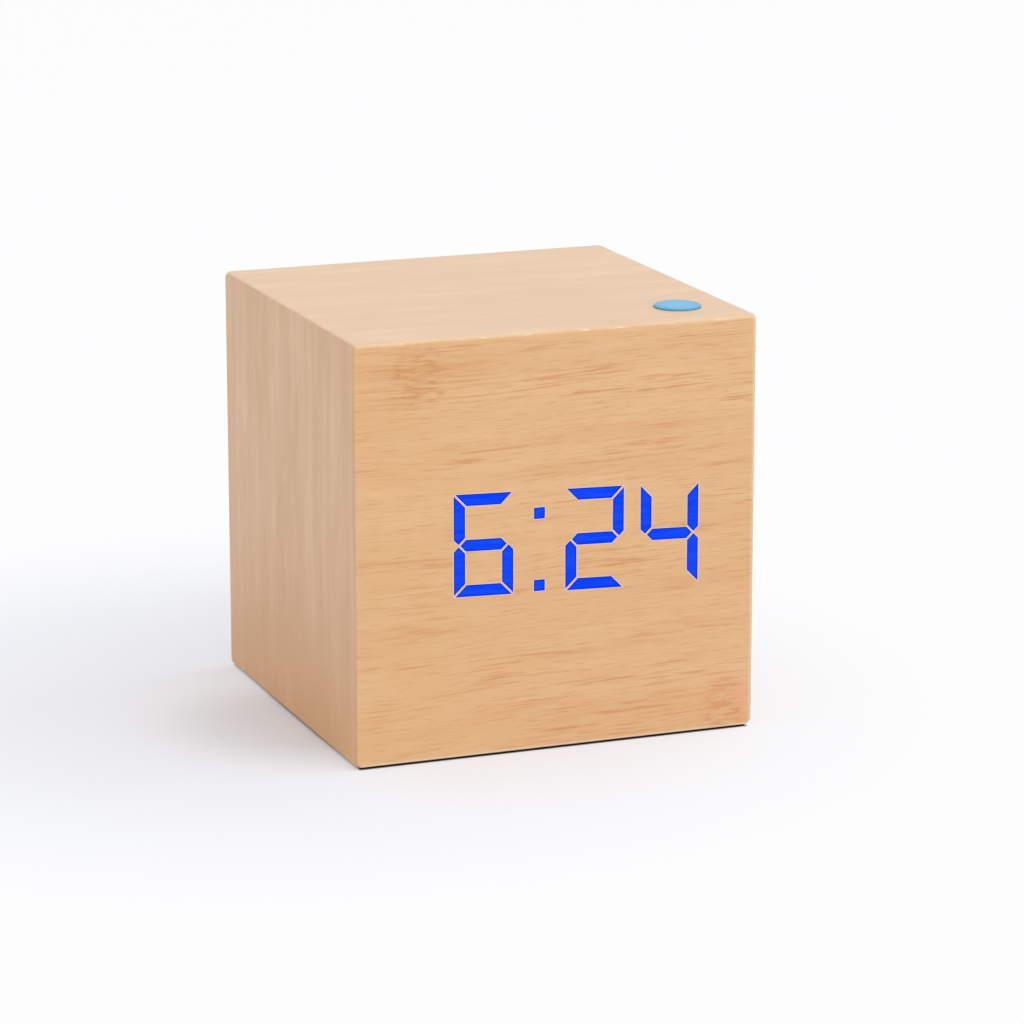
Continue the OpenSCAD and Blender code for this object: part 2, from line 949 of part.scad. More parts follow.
module microcontroller() {
    color("#202022") translate([chip_x, main_front_y, chip_z]) {
        translate([-chip_w / 2, -chip_t, -chip_h / 2]) cube([chip_w, chip_t, chip_h]);
        for (i = [0 : chip_legs - 1])
            translate([(i - (chip_legs - 1) / 2) * leg_pitch - leg_w / 2, -leg_h, -chip_h / 2 - leg_reach])
                cube([leg_w, leg_h, chip_h + 2 * leg_reach]);
    }
}

module crystal() {
    color("#c4c7cb") translate([crystal_x, 0, crystal_z])
        along_y(main_front_y - crystal_t, main_front_y)
            round_rect(crystal_l + 2 * crystal_r, 2 * crystal_r, 0.98 * crystal_r);
}

module capacitors() {
    color("#2c3e66") for (z = capacitor_zs)
        translate([capacitor_x, 0, z]) rod_y(capacitor_r, main_front_y - capacitor_h, main_front_y);
}

module buzzer() {
    top_y = inner_y - buzzer_gap;
    color("#141416") translate([0, 0, buzzer_z]) difference() {
        rod_y(buzzer_r, main_board_y, top_y);
        rod_y(buzzer_port_r, top_y - buzzer_port_depth, top_y + cut);
    }
}

// Base
module at_feet() {
    for (x = [-1, 1], y = [-1, 1])
        translate([x * foot_x, y * foot_y, 0]) children();
}

module at_base_screws() {
    for (x = [-1, 1], y = [-1, 1])
        translate([x * base_screw_x, y * base_screw_y, 0]) children();
}

module base_plate() {
    ledge_z = floor_z + door_t + seat_gap;
    bay_x = bay_w / 2;
    bay_y = bay_l / 2;
    wall_x = bay_x + bay_wall;
    wall_y = bay_y + bay_wall;
    recess_front = hinge_y - door_t / 2 - side_gap;
    recess_rear = door_end_y + side_gap;
    notch_x = nose_w / 2 + side_gap;
    color("#1c1c1e") {
        difference() {
            union() {
                box([-base_x, -base_y, floor_z], [base_x, base_y, floor_z + base_t]);
                box([-wall_x, -wall_y, ledge_z], [wall_x, wall_y, bay_top]);
            }
            box([-bay_x, -bay_y, floor_z - cut], [bay_x, bay_y, bay_ceiling]);
            box([-recess_x, recess_front, floor_z - cut], [recess_x, recess_rear, ledge_z]);
            translate([0, hinge_y, hinge_z])
                rod_x(hinge_pin_r + running_gap, -recess_x - hinge_pin_l, recess_x + hinge_pin_l);
            box([-notch_x, recess_rear - cut, floor_z - cut], [notch_x, recess_rear + notch_l, ledge_z]);
            at_feet() translate([0, 0, -cut]) cylinder(r = foot_r + foot_fit, h = foot_t + cut);
            at_base_screws() {
                translate([0, 0, floor_z - cut]) cylinder(r = screw_hole_r, h = base_t + 2 * cut);
                translate([0, 0, floor_z - cut]) cylinder(r = head_r + side_gap, h = head_sink + cut);
            }
            for (end = [-1, 1])
                tab_slot_at(end);
        }
        box(
            [-notch_x, door_end_y + nose_reach + catch_gap, floor_z + catch_z[0]],
            [notch_x, recess_rear + notch_l, floor_z + catch_z[1]]
        );
    }
}

// Slot in the bay's ceiling for the tab of the positive contact (-1) or the negative contact (1)
module tab_slot_at(end) {
    depth = contact_t + tab_slot;
    translate([end * cell_pitch, end * (bay_l / 2 - depth / 2), bay_ceiling])
        cube([tab_w + 2 * tab_slot, depth, 3 * bay_wall], center = true);
}

module side_blocks() {
    color("#c9a277") for (side = [-1, 1]) difference() {
        translate([side * (inner_x - block_w / 2), 0, floor_z + base_t + block_h / 2])
            cube([block_w, block_l, block_h], center = true);
        at_base_screws()
            translate([0, 0, floor_z + base_t - cut])
                cylinder(r = screw_hole_r, h = base_screw_bite + 1.5 * cut);
    }
}

module base_screws() {
    color("#9a9da2") at_base_screws()
        translate([0, 0, floor_z + head_sink]) screw(base_t - head_sink + base_screw_bite);
}

module battery_door() {
    half = door_w / 2;
    color("#232326") difference() {
        union() {
            along_x(-half, half) {
                translate([hinge_y, hinge_z]) circle(door_t / 2);
                translate([hinge_y, floor_z]) square([door_end_y - hinge_y, door_t]);
            }
            translate([0, hinge_y, hinge_z]) rod_x(hinge_pin_r, -half - hinge_pin_l, half + hinge_pin_l);
            box(
                [-nose_w / 2, door_end_y - cut, floor_z + nose_z[0]],
                [nose_w / 2, door_end_y + nose_reach, floor_z + nose_z[1]]
            );
        }
        for (side = [-1, 1])
            translate([side * (tongue_w + slit_w) / 2 - slit_w / 2, door_end_y - slit_l, floor_z - cut])
                cube([slit_w, slit_l + cut, door_t + 2 * cut]);
        for (i = [1 : grip_count])
            translate([-tongue_w / 2 + grip_w, door_end_y - 2 * i * grip_w, floor_z - cut])
                cube([tongue_w - 2 * grip_w, grip_w, grip_depth + cut]);
    }
}

module foot(x, y) {
    bevel = 0.3;
    color("#2a2a2c") translate([x * foot_x, y * foot_y, 0])
        rotate_extrude()
            polygon([[0, 0], [foot_r - bevel, 0], [foot_r, bevel], [foot_r, foot_t], [0, foot_t]]);
}

module foot_front_left() {
    foot(-1, -1);
}

module foot_front_right() {
    foot(1, -1);
}

module foot_rear_left() {
    foot(-1, 1);
}

module foot_rear_right() {
    foot(1, 1);
}

// Cells: the outer two point their nubs to the front, the middle one to the rear
module cell(i) {
    shoulder = 0.6;
    rim = 0.4;
    color("#c9a24a") translate([cell_xs[i], 0, cell_z])
        rotate([0, 0, i == 1 ? 180 : 0])
            translate([0, -bay_l / 2 + contact_t, 0])
                rotate([-90, 0, 0])
                    rotate_extrude()
                        polygon([
                            [0, 0],
                            [nub_r, 0],
                            [nub_r, nub_l],
                            [cell_r - shoulder, nub_l],
                            [cell_r, nub_l + shoulder],
                            [cell_r, cell_l - rim],
                            [cell_r - rim, cell_l],
                            [0, cell_l]
                        ]);
}

module battery_1() {
    cell(0);
}

module battery_2() {
    cell(1);
}

module battery_3() {
    cell(2);
}

// Contact plate on the front (-1) or rear (1) wall of the bay, from one cell's middle to another's
module contact_plate(end, x_low, x_high) {
    wall_y = end * bay_l / 2;
    translate([(x_low + x_high) / 2, wall_y - end * contact_t / 2, cell_z])
        cube([x_high - x_low + contact_w, contact_t, contact_h], center = true);
}

module contact_tab(end) {
    wall_y = end * bay_l / 2;
    tab_h = bay_top + tab_rise - cell_z;
    translate([end * cell_pitch, wall_y - end * contact_t / 2, cell_z + tab_h / 2])
        cube([tab_w, contact_t, tab_h], center = true);
}

module contact_positive() {
    color("#c4c7cb") {
        contact_plate(-1, -cell_pitch, -cell_pitch);
        contact_tab(-1);
    }
}

module contact_negative() {
    color("#c4c7cb") {
        contact_plate(1, cell_pitch, cell_pitch);
        contact_tab(1);
    }
}

module contact_bridge_front() {
    color("#c4c7cb") contact_plate(-1, 0, cell_pitch);
}

module contact_bridge_rear() {
    color("#c4c7cb") contact_plate(1, -cell_pitch, 0);
}

// Conical contact spring along +Y, its wide end on the contact plate
spring_steps = spring_turns * spring_rings;
spring_run = spring_l - spring_wire - 2 * spring_lift;
spring_path = [
    for (i = [0 : spring_steps])
        let (
            share = i / spring_steps,
            angle = 360 * i / spring_rings,
            r = spring_base_r + (spring_tip_r - spring_base_r) * share
        )
        [r * cos(angle), spring_lift + spring_wire / 2 + spring_run * share, r * sin(angle)]
];
spring_gap = min([
    for (i = [0 : spring_steps], j = [0 : spring_steps])
        if (j - i > spring_rings / 2) norm(spring_path[i] - spring_path[j]) - spring_wire
]);
echo(least_gap_between_spring_turns = spring_gap);

module contact_spring() {
    sweep(spring_path, ring(spring_wire / 2, spring_sides), [0, 1, 0]);
}

module battery_springs() {
    start_y = bay_l / 2 - contact_t;
    color("#c4c7cb") {
        translate([0, -start_y, cell_z]) contact_spring();
        for (x = [-cell_pitch, cell_pitch])
            translate([x, start_y, cell_z]) rotate([0, 0, 180]) contact_spring();
    }
}

// Wiring
module led_ribbon() {
    path = lead_path(
        [0, led_board_back_y, ribbon_led_z],
        [0, 1, 0],
        [0, main_front_y, ribbon_main_z],
        [0, -1, 0],
        lead_reach
    );
    profile = [
        [-ribbon_t / 2, -ribbon_w / 2],
        [ribbon_t / 2, -ribbon_w / 2],
        [ribbon_t / 2, ribbon_w / 2],
        [-ribbon_t / 2, ribbon_w / 2]
    ];
    color("#9a9da2") sweep(path, profile, [1, 0, 0]);
}

module lead(path, r) {
    sweep(path, ring(r, lead_sides), [1, 0, 0]);
}

module battery_lead_red() {
    path = lead_path(
        [-cell_pitch, -bay_l / 2 + contact_t, tab_lead_z],
        [0, 1, 0],
        [-power_pad_x, main_front_y, power_pad_z],
        [0, -1, 0],
        lead_reach
    );
    color("#b02020") lead(path, lead_r);
}

module battery_lead_black() {
    path = lead_path(
        [cell_pitch, bay_l / 2 - contact_t, tab_lead_z],
        [0, -1, 0],
        [power_pad_x, main_front_y, power_pad_z],
        [0, -1, 0],
        lead_reach
    );
    color("#1a1a1a") lead(path, lead_r);
}

module top_switch_leads() {
    color("#8a8d92") for (x = [-lead_d, lead_d])
        lead(
            lead_path(
                [switch_lead_x + x, switch_lead_y, top_board_z - board_t],
                [0, 0, -1],
                [switch_pad_x + x, main_front_y, switch_pad_z],
                [0, -1, 0],
                lead_reach
            ),
            switch_lead_r
        );
}

front_film();
front_panel();
top_panel();
left_panel();
right_panel();
rear_panel();
lit_hours();
lit_colon();
lit_tens();
lit_units();
diffuser_sheet();
segment_mask();
led_board();
segment_leds();
led_board_screws();
top_button();
top_switch_plunger();
top_switch();
top_switch_board();
top_switch_spacers();
top_switch_screws();
control_plate();
control_plate_screws();
set_button();
up_button();
down_button();
set_plunger();
up_plunger();
down_plunger();
set_switch();
up_switch();
down_switch();
dc_socket();
dc_socket_pin();
main_board();
main_board_screws();
microcontroller();
crystal();
capacitors();
buzzer();
base_plate();
side_blocks();
base_screws();
battery_door();
foot_front_left();
foot_front_right();
foot_rear_left();
foot_rear_right();
battery_1();
battery_2();
battery_3();
contact_positive();
contact_negative();
contact_bridge_front();
contact_bridge_rear();
battery_springs();
led_ribbon();
battery_lead_red();
battery_lead_black();
top_switch_leads();
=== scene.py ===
# %% [markdown]
# # LED cube alarm clock
# A small cube clock: boards with a wood-grain finish, a front film through which blue digits light up,
# one blue button on top, and a black plastic base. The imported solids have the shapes. This script gives
# them their finishes, rebuilds the wound and soft pieces as fine meshes, and sets up camera, floor and light.

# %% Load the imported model
import math

import bmesh
import bpy
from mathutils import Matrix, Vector


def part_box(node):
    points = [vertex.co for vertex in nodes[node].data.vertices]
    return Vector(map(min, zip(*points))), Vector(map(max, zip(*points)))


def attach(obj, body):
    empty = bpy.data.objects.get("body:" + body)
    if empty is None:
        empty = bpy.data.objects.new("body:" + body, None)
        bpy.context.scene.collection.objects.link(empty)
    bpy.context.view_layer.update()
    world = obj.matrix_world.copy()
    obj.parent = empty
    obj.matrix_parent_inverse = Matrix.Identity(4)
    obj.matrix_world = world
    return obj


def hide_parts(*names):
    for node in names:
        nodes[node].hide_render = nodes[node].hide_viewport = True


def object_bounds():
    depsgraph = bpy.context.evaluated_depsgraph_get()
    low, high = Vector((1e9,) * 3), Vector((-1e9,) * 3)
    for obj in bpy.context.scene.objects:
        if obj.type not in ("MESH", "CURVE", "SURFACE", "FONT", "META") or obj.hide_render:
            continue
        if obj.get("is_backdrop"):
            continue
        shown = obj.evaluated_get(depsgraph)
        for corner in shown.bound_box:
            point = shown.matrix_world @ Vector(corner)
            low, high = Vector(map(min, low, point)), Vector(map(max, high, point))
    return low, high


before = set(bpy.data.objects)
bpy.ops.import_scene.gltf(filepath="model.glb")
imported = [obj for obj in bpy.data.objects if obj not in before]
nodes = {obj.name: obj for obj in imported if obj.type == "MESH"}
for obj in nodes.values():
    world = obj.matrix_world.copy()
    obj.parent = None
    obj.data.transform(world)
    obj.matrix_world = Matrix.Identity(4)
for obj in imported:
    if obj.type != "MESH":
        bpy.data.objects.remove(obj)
cad_low, cad_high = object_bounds()
MM = 0.001
print(f"{len(nodes)} nodes in a box of {[round(side / MM, 1) for side in cad_high - cad_low]} mm")

# %% [markdown]
# ## Small tools
# Colours are written as sRGB hex values, as a colour picker shows them, and Blender's shaders want linear
# light, so one function converts them. Another adds any shader node with its settings and links, and a third
# links results to the shader itself. With these, a material reads as a list of what feeds what.


# %% Colours
def linear(colour):
    """An sRGB hex colour as linear red, green, blue and alpha."""
    parts = [int(colour[i : i + 2], 16) / 255 for i in (1, 3, 5)]
    return (*[c / 12.92 if c <= 0.04045 else ((c + 0.055) / 1.055) ** 2.4 for c in parts], 1.0)


print(f"the grey #808080 is {linear('#808080')[0]:.2f} in linear light")


# %% Nodes
def add(tree, kind, inputs=None, **settings):
    """Adds a node. Each input, by name or number, gets a value, an output, or a node's first output."""
    node = tree.nodes.new("ShaderNode" + kind)
    for name, value in settings.items():
        setattr(node, name, value)
    sockets = [s for s in node.inputs if s.enabled]
    for key, value in (inputs or {}).items():
        socket = sockets[key] if isinstance(key, int) else next(s for s in sockets if s.name == key)
        if isinstance(value, bpy.types.Node):
            value = next(s for s in value.outputs if s.enabled)
        if isinstance(value, bpy.types.NodeSocket):
            tree.links.new(value, socket)
        else:
            socket.default_value = value
    return node


# %% Materials
def new_finish(name, **values):
    """A material with one Principled shader. Values are set on the shader's sockets by their names."""
    material = bpy.data.materials.new(name)
    material.use_nodes = True
    shader = material.node_tree.nodes["Principled BSDF"]
    for key, value in values.items():
        shader.inputs[key.replace("_", " ")].default_value = value
    return material, material.node_tree, shader


def feed(tree, shader, **sources):
    """Links each node's first output to the shader's socket of that name."""
    for key, source in sources.items():
        output = next(s for s in source.outputs if s.enabled)
        tree.links.new(output, shader.inputs[key.replace("_", " ")])


def dress(material, *names):
    """Puts a material on CAD nodes."""
    for name in names:
        nodes[name].material_slots[0].material = material
    print(material.name, "on", ", ".join(names))


# %% [markdown]
# ## Camera
# The picture's vanishing points give the camera: a long lens, about 72 cm away, turned 21 degrees to the
# left of the front and looking down by 14 degrees. It could be placed by eye, but a fit to the cube's edges
# is exact. The camera comes first, because every later choice is judged through it.

# %% Camera
PICTURE_PX = 1024
FOCAL_PX = 4311.1
SENSOR_MM = 36.0
CAMERA_AT = Vector((-245.34, -645.95, 203.54)) * MM
CAMERA_TURN = math.radians(-21.175)
CAMERA_DOWN = math.radians(13.991)

camera_data = bpy.data.cameras.new("camera")
camera_data.sensor_width = SENSOR_MM
camera_data.lens = FOCAL_PX * SENSOR_MM / PICTURE_PX
camera = bpy.data.objects.new("camera", camera_data)
camera.location = CAMERA_AT
camera.rotation_euler = (math.pi / 2 - CAMERA_DOWN, 0, CAMERA_TURN)
bpy.context.scene.collection.objects.link(camera)
bpy.context.scene.camera = camera
print(f"lens {camera_data.lens:.1f} mm, {CAMERA_AT.length / MM:.0f} mm from the origin")

# %% [markdown]
# ## Floor
# The clock stands on a white studio floor. A backdrop could curve up behind it, but the camera looks down so
# far that the floor alone fills the picture. The floor is open under the clock, so that light and other
# views reach the underside.

# %% Floor
FLOOR_HALF = 4.0
WELL_HALF = 30 * MM

floor_points = []
for half in (WELL_HALF, FLOOR_HALF):
    floor_points += [(-half, -half, 0), (half, -half, 0), (half, half, 0), (-half, half, 0)]
floor_faces = [(4 + i, 4 + (i + 1) % 4, (i + 1) % 4, i) for i in range(4)]
floor_mesh = bpy.data.meshes.new("floor")
floor_mesh.from_pydata(floor_points, [], floor_faces)
floor = bpy.data.objects.new("floor", floor_mesh)
bpy.context.scene.collection.objects.link(floor)
floor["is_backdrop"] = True
print(f"floor {2 * FLOOR_HALF:.0f} m wide, open over {2 * WELL_HALF / MM:.0f} mm")

# %% [markdown]
# In the clock's shadow the floor is ordinary paper, and further away it shows white to the camera. More lamps
# could whiten it too, but they would bleach the wood, so the white is an emission that only direct rays and
# reflections see. The paper is a little blue, which takes back the orange light that the wood throws on it.
# Under the clock it is painted dark, a painted shade for the shadow in the gap at its feet. From below the
# floor is clear.


# %% Rays that see the white
def plainly_seen(tree):
    """A share of 1 for rays that come from the camera, off a gloss or through glass."""
    ray = add(tree, "LightPath").outputs
    seen = ray["Is Camera Ray"]
    for kind in ("Is Glossy Ray", "Is Transmission Ray"):
        seen = add(tree, "Math", {0: seen, 1: ray[kind]}, operation="ADD", use_clamp=True)
    return seen


# %% Paper and its fades
# Each fade has its middle, the distances where it starts and ends, and the share of white at both.
FLOOR_FADES = {
    "beside_the_left_side": ((-36 * MM, -4 * MM, 0), 8 * MM, 28 * MM, 0.06, 0.36),
    "round_the_clock": ((-30 * MM, 12 * MM, 0), 55 * MM, 118 * MM, 0.0, 0.90),
}

# Paper is matt: it shows soft shadows and no reflections.
paper, tree, shader = new_finish("white_paper", Roughness=0.8, IOR=1.3)
place = add(tree, "TexCoord").outputs["Object"]
paper_shares = []
for middle, near, far, least, most in FLOOR_FADES.values():
    away = add(tree, "VectorMath", {0: place, 1: middle}, operation="DISTANCE").outputs["Value"]
    limits = {"Value": away, "From Min": near, "From Max": far, "To Min": 1 - least, "To Max": 1 - most}
    paper_shares.append(add(tree, "MapRange", limits, interpolation_type="SMOOTHSTEP"))
paper_share = add(tree, "Math", {0: paper_shares[0], 1: paper_shares[1]}, operation="MULTIPLY")
print("paper with the fades", ", ".join(FLOOR_FADES))

# %% Painted shade under the clock
FOOTPRINT = (33.1 * MM, 32.15 * MM, 0)
FOOTPRINT_BLUR = 0.5 * MM

size = add(tree, "VectorMath", {0: place}, operation="ABSOLUTE")
outside = add(tree, "VectorMath", {0: size, 1: FOOTPRINT}, operation="SUBTRACT")
sides = add(tree, "SeparateXYZ", {"Vector": outside}).outputs
beyond = add(tree, "Math", {0: sides["X"], 1: sides["Y"]}, operation="MAXIMUM")
outside_painted_shade = add(tree, "MapRange", {"Value": beyond, "From Min": 0, "From Max": FOOTPRINT_BLUR})
# Under the clock the paper is painted dark brown: a painted shade for the shadow in the gap at its feet.
tones = {"Factor": outside_painted_shade, "A": linear("#5a4034"), "B": linear("#f5f9ff")}
feed(tree, shader, Base_Color=add(tree, "Mix", tones, data_type="RGBA"))
print(f"dark under {2 * FOOTPRINT[0] / MM:.1f} by {2 * FOOTPRINT[1] / MM:.1f} mm")

# %% White to the camera and clear from below
white_share = add(tree, "Math", {0: 1.0, 1: paper_share}, operation="SUBTRACT")
for part in (outside_painted_shade, plainly_seen(tree)):
    white_share = add(tree, "Math", {0: white_share, 1: part}, operation="MULTIPLY")
glow = add(tree, "Emission", {"Color": linear("#fefeff"), "Strength": 1.0})
white = add(tree, "MixShader", {"Fac": white_share, 1: shader, 2: glow})
below = add(tree, "NewGeometry").outputs["Backfacing"]
clear = add(tree, "BsdfTransparent")
one_sided = add(tree, "MixShader", {"Fac": below, 1: white, 2: clear})
feed(tree, tree.nodes["Material Output"], Surface=one_sided)
floor_mesh.materials.append(paper)
print(paper.name, "on", floor.name)

# %% [markdown]
# ## Light
# The light is soft and comes from the right, a little in front: the left side is the darkest face and the
# shadow lies on the left. One large lamp gives that direction, a second in front lifts the digits' face, and
# the world fills the rest. Together they light a surface about as brightly as its colour is written.

# %% World and lamps
WORLD_LEVEL = 0.70
# Each lamp has its place and its size in metres, and its power in watts.
LAMPS = {
    "key_softbox": ((0.75, -0.35, 1.25), (1.5, 1.5), 7.4),
    "front_softbox": ((-0.10, -1.35, 0.60), (1.1, 0.9), 3.8),
}

world = bpy.data.worlds.new("studio")
bpy.context.scene.world = world
world.use_nodes = True
tree = world.node_tree
level = add(tree, "MapRange", {"Value": plainly_seen(tree), "To Min": WORLD_LEVEL, "To Max": 1.0})
background = tree.nodes["Background"]
background.inputs["Color"].default_value = linear("#fbfbff")
feed(tree, background, Strength=level)

clock_middle = (cad_low + cad_high) / 2
for name, (at, size, power) in LAMPS.items():
    lamp_data = bpy.data.lights.new(name, "AREA")
    lamp_data.shape = "RECTANGLE"
    lamp_data.size, lamp_data.size_y = size
    lamp_data.energy = power
    lamp = bpy.data.objects.new(name, lamp_data)
    lamp.location = at
    lamp.rotation_euler = (clock_middle - Vector(at)).to_track_quat("-Z", "Y").to_euler()
    bpy.context.scene.collection.objects.link(lamp)
bpy.context.scene.view_settings.view_transform = "Standard"
print("world at", WORLD_LEVEL, "with", ", ".join(LAMPS))

# %% [markdown]
# ## Bamboo print
# The boards carry a printed bamboo pattern under satin lacquer: broad soft bands, long thin lines that come
# in clusters, and short hairs, all drawn out along the grain. A picture of bamboo could be wrapped on, but
# noise that is stretched to real millimetres stays sharp at any distance and differs on every board. Where
# the print is darker it turns orange rather than grey, so its tones differ most in blue.

# %% Print layers
# Each layer has its size in mm along, into and across the grain, the noise's detail, and the noise values
# where its tone starts and is full. Real hairs are about 0.05 mm wide, too fine to show in a picture of the
# whole clock, so they are drawn at 0.17 mm.
PRINT_LAYERS = {
    "bands": ((60.0, 20.0, 3.6), 2.0, 0.30, 0.70),
    "blotches": ((20.0, 14.0, 7.0), 2.0, 0.38, 0.68),
    "lines": ((14.0, 9.0, 0.36), 3.0, 0.51, 0.65),
    "hairs": ((4.4, 4.0, 0.17), 2.0, 0.58, 0.70),
    "clusters": ((26.0, 10.0, 3.4), 2.0, 0.38, 0.58),
    "breaks": ((5.0, 4.0, 0.8), 2.0, 0.36, 0.54),
}
DRIFT_LENGTH = 40.0
DRIFT_SWAY = 2.4
# Satin lacquer over printed paper is smooth and half matt: broad, soft highlights that leave the print clear.
LACQUER = {"Roughness": 0.42, "IOR": 1.48}
RELIEF = {"Strength": 0.4, "Distance": 0.02 * MM}
print(", ".join(f"{name} {layer[0][2]} mm" for name, layer in PRINT_LAYERS.items()), "across the grain")


# %% Bamboo print
def bamboo_print(tree, turn, offset, tones, strengths):
    """The print's colour and relief, the noise of its lines, and its place in mm with X along the grain.

    The tones are light, middle, dark and hair. The strengths come in the order of the layers.
    """
    light, middle, dark, hair = [linear(tone) for tone in tones]
    place = add(tree, "TexCoord").outputs["Object"]
    in_mm = {"Location": [v * MM for v in offset], "Rotation": turn, "Scale": (MM, MM, MM)}
    along = add(tree, "Mapping", {"Vector": place, **in_mm}, vector_type="TEXTURE")
    drift = add(tree, "TexNoise", {"Vector": along, "Scale": 1 / DRIFT_LENGTH, "Detail": 1.0})
    sway = {0: drift.outputs["Color"], 1: (0, 0, DRIFT_SWAY), 2: along}
    bent = add(tree, "VectorMath", sway, operation="MULTIPLY_ADD")
    noises, shares = {}, {}
    for (name, (size, detail, low, high)), strength in zip(PRINT_LAYERS.items(), strengths):
        stretched = add(tree, "Mapping", {"Vector": bent, "Scale": size}, vector_type="TEXTURE")
        noises[name] = add(tree, "TexNoise", {"Vector": stretched, "Scale": 1.0, "Detail": detail})
        limits = {"Value": noises[name], "From Min": low, "From Max": high, "To Max": strength}
        shares[name] = add(tree, "MapRange", limits)
    broken = shares["lines"]
    for name in ("clusters", "breaks"):
        broken = add(tree, "Math", {0: broken, 1: shares[name]}, operation="MULTIPLY")
    colour = light
    for share, tone in (
        (shares["bands"], middle),
        (shares["blotches"], middle),
        (broken, dark),
        (shares["hairs"], hair),
    ):
        colour = add(tree, "Mix", {"Factor": share, "A": colour, "B": tone}, data_type="RGBA")
    relief = add(tree, "Math", {0: broken, 1: shares["hairs"]}, operation="ADD")
    return colour, relief, noises["lines"], bent


# %% [markdown]
# ### Front film
# The film is a thin printed skin, a shade warmer than the boards, with its grain across the front and a
# slight slope to it. It is the same print as theirs with stronger lines.

# %% Film's print
FILM_TONES = ("#e6bb89", "#e0b07d", "#d79a67", "#cd8f5b")
FILM_STRENGTHS = (0.9, 0.3, 1.0, 0.66, 1.0, 1.0)
FILM_TURN = (0, math.radians(-1.3), 0)
FILM_OFFSET = (3.0, 0.0, 1.0)

film, tree, shader = new_finish("bamboo_print_film", **LACQUER)
colour, relief, lines, along = bamboo_print(tree, FILM_TURN, FILM_OFFSET, FILM_TONES, FILM_STRENGTHS)
place = add(tree, "TexCoord").outputs["Object"]
print("film printed in", ", ".join(FILM_TONES))

# %% [markdown]
# Bamboo has nodes, and two of them show near opposite corners: a short upright strip of flecks from which
# strong lines run out to both sides. A node could be drawn mark by mark. Here a ragged oval lets a noise of
# flecks through, and a wider one lets more of the print's own lines through, so the node belongs to the grain
# round it. The lower one is redder and has hardly any lines.

# %% Film's nodes
# Each node has its middle in mm, and the strength and tone of its halo of lines and of its core of flecks.
NODES = {
    "upper_left": ((-23.6, 62.4), (1.0, "#d69a62"), (1.0, "#d0915a")),
    "lower_right": ((28.9, 4.2), (0.2, "#dfa06e"), (0.85, "#d99363")),
}
NODE_HALO = (16.0, 6.6)
NODE_CORE = (5.6, 6.6)
NODE_RAG = (6.0, 3.0)
RAG_SIZE = 2.6
FLECK_SIZE = (3.4, 3.0, 0.60)

fleck_at = add(tree, "Mapping", {"Vector": along, "Scale": FLECK_SIZE}, vector_type="TEXTURE")
flecks = add(tree, "TexNoise", {"Vector": fleck_at, "Scale": 1.0, "Detail": 2.0})
limits = {"Value": flecks, "From Min": 0.46, "From Max": 0.60, "To Min": 0.08, "To Max": 0.9}
flecks = add(tree, "MapRange", limits)
runs = add(tree, "MapRange", {"Value": lines, "From Min": 0.47, "From Max": 0.60, "To Max": 0.7})
rag = add(tree, "TexNoise", {"Vector": along, "Scale": 1 / RAG_SIZE, "Detail": 2.0}).outputs["Color"]
reach = (NODE_RAG[0] * MM, 0, NODE_RAG[1] * MM)
ragged = add(tree, "VectorMath", {0: rag, 1: reach, 2: place}, operation="MULTIPLY_ADD")
for (x, z), halo, core in NODES.values():
    middle = ((x + NODE_RAG[0] / 2) * MM, 0, (z + NODE_RAG[1] / 2) * MM)
    for (wide, high), marks, (strength, tone) in ((NODE_HALO, runs, halo), (NODE_CORE, flecks, core)):
        spot = {"Vector": ragged, "Location": middle, "Scale": (wide * MM, 1.0, high * MM)}
        centred = add(tree, "Mapping", spot, vector_type="TEXTURE")
        away = add(tree, "VectorMath", {0: centred}, operation="LENGTH").outputs["Value"]
        limits = {"Value": away, "From Min": 1.0, "From Max": 0.5, "To Max": strength}
        inside = add(tree, "MapRange", limits, interpolation_type="SMOOTHSTEP")
        share = add(tree, "Math", {0: inside, 1: marks}, operation="MULTIPLY")
        colour = add(tree, "Mix", {"Factor": share, "A": colour, "B": linear(tone)}, data_type="RGBA")
print("nodes", ", ".join(NODES))

# %% [markdown]
# The strips that bamboo boards are glued from differ a little in tint, and the print shows it as reddish and
# yellowish patches, drawn out along the grain. They could be mixed in as more tones, but that would wash out
# the lines, so each tint multiplies the print, as a thin stain does.

# %% Film's tints
# Each tint has the size of its patches in mm, the noise values where it starts and is full, its greatest
# share and its tone.
FILM_TINTS = {
    "reddish": ((12.0, 8.0, 2.2), 0.46, 0.74, 0.5, "#fff1ea"),
    "yellowish": ((9.0, 7.0, 1.8), 0.50, 0.75, 0.5, "#fffdec"),
}

for size, low, high, most, tone in FILM_TINTS.values():
    patch_at = add(tree, "Mapping", {"Vector": along, "Scale": size}, vector_type="TEXTURE")
    patches = add(tree, "TexNoise", {"Vector": patch_at, "Scale": 1.0, "Detail": 3.0})
    share = add(tree, "MapRange", {"Value": patches, "From Min": low, "From Max": high, "To Max": most})
    tinted = {"Factor": share, "A": colour, "B": linear(tone)}
    colour = add(tree, "Mix", tinted, data_type="RGBA", blend_type="MULTIPLY")
print("tints", ", ".join(FILM_TINTS))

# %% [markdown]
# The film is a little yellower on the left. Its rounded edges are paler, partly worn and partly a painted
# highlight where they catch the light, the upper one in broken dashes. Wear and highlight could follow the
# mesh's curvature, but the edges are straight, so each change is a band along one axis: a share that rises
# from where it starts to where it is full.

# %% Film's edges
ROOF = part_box("top_panel")[1].z
GROUND_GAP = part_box("left_panel")[0].z
FRONT = cad_low.y
# Pale tone of the edges: wear together with a painted highlight of the light that the rounded edges catch.
WEAR_AND_HIGHLIGHT = "#f4dcbb"
DASH_SIZE = (2.2 * MM, MM, MM)
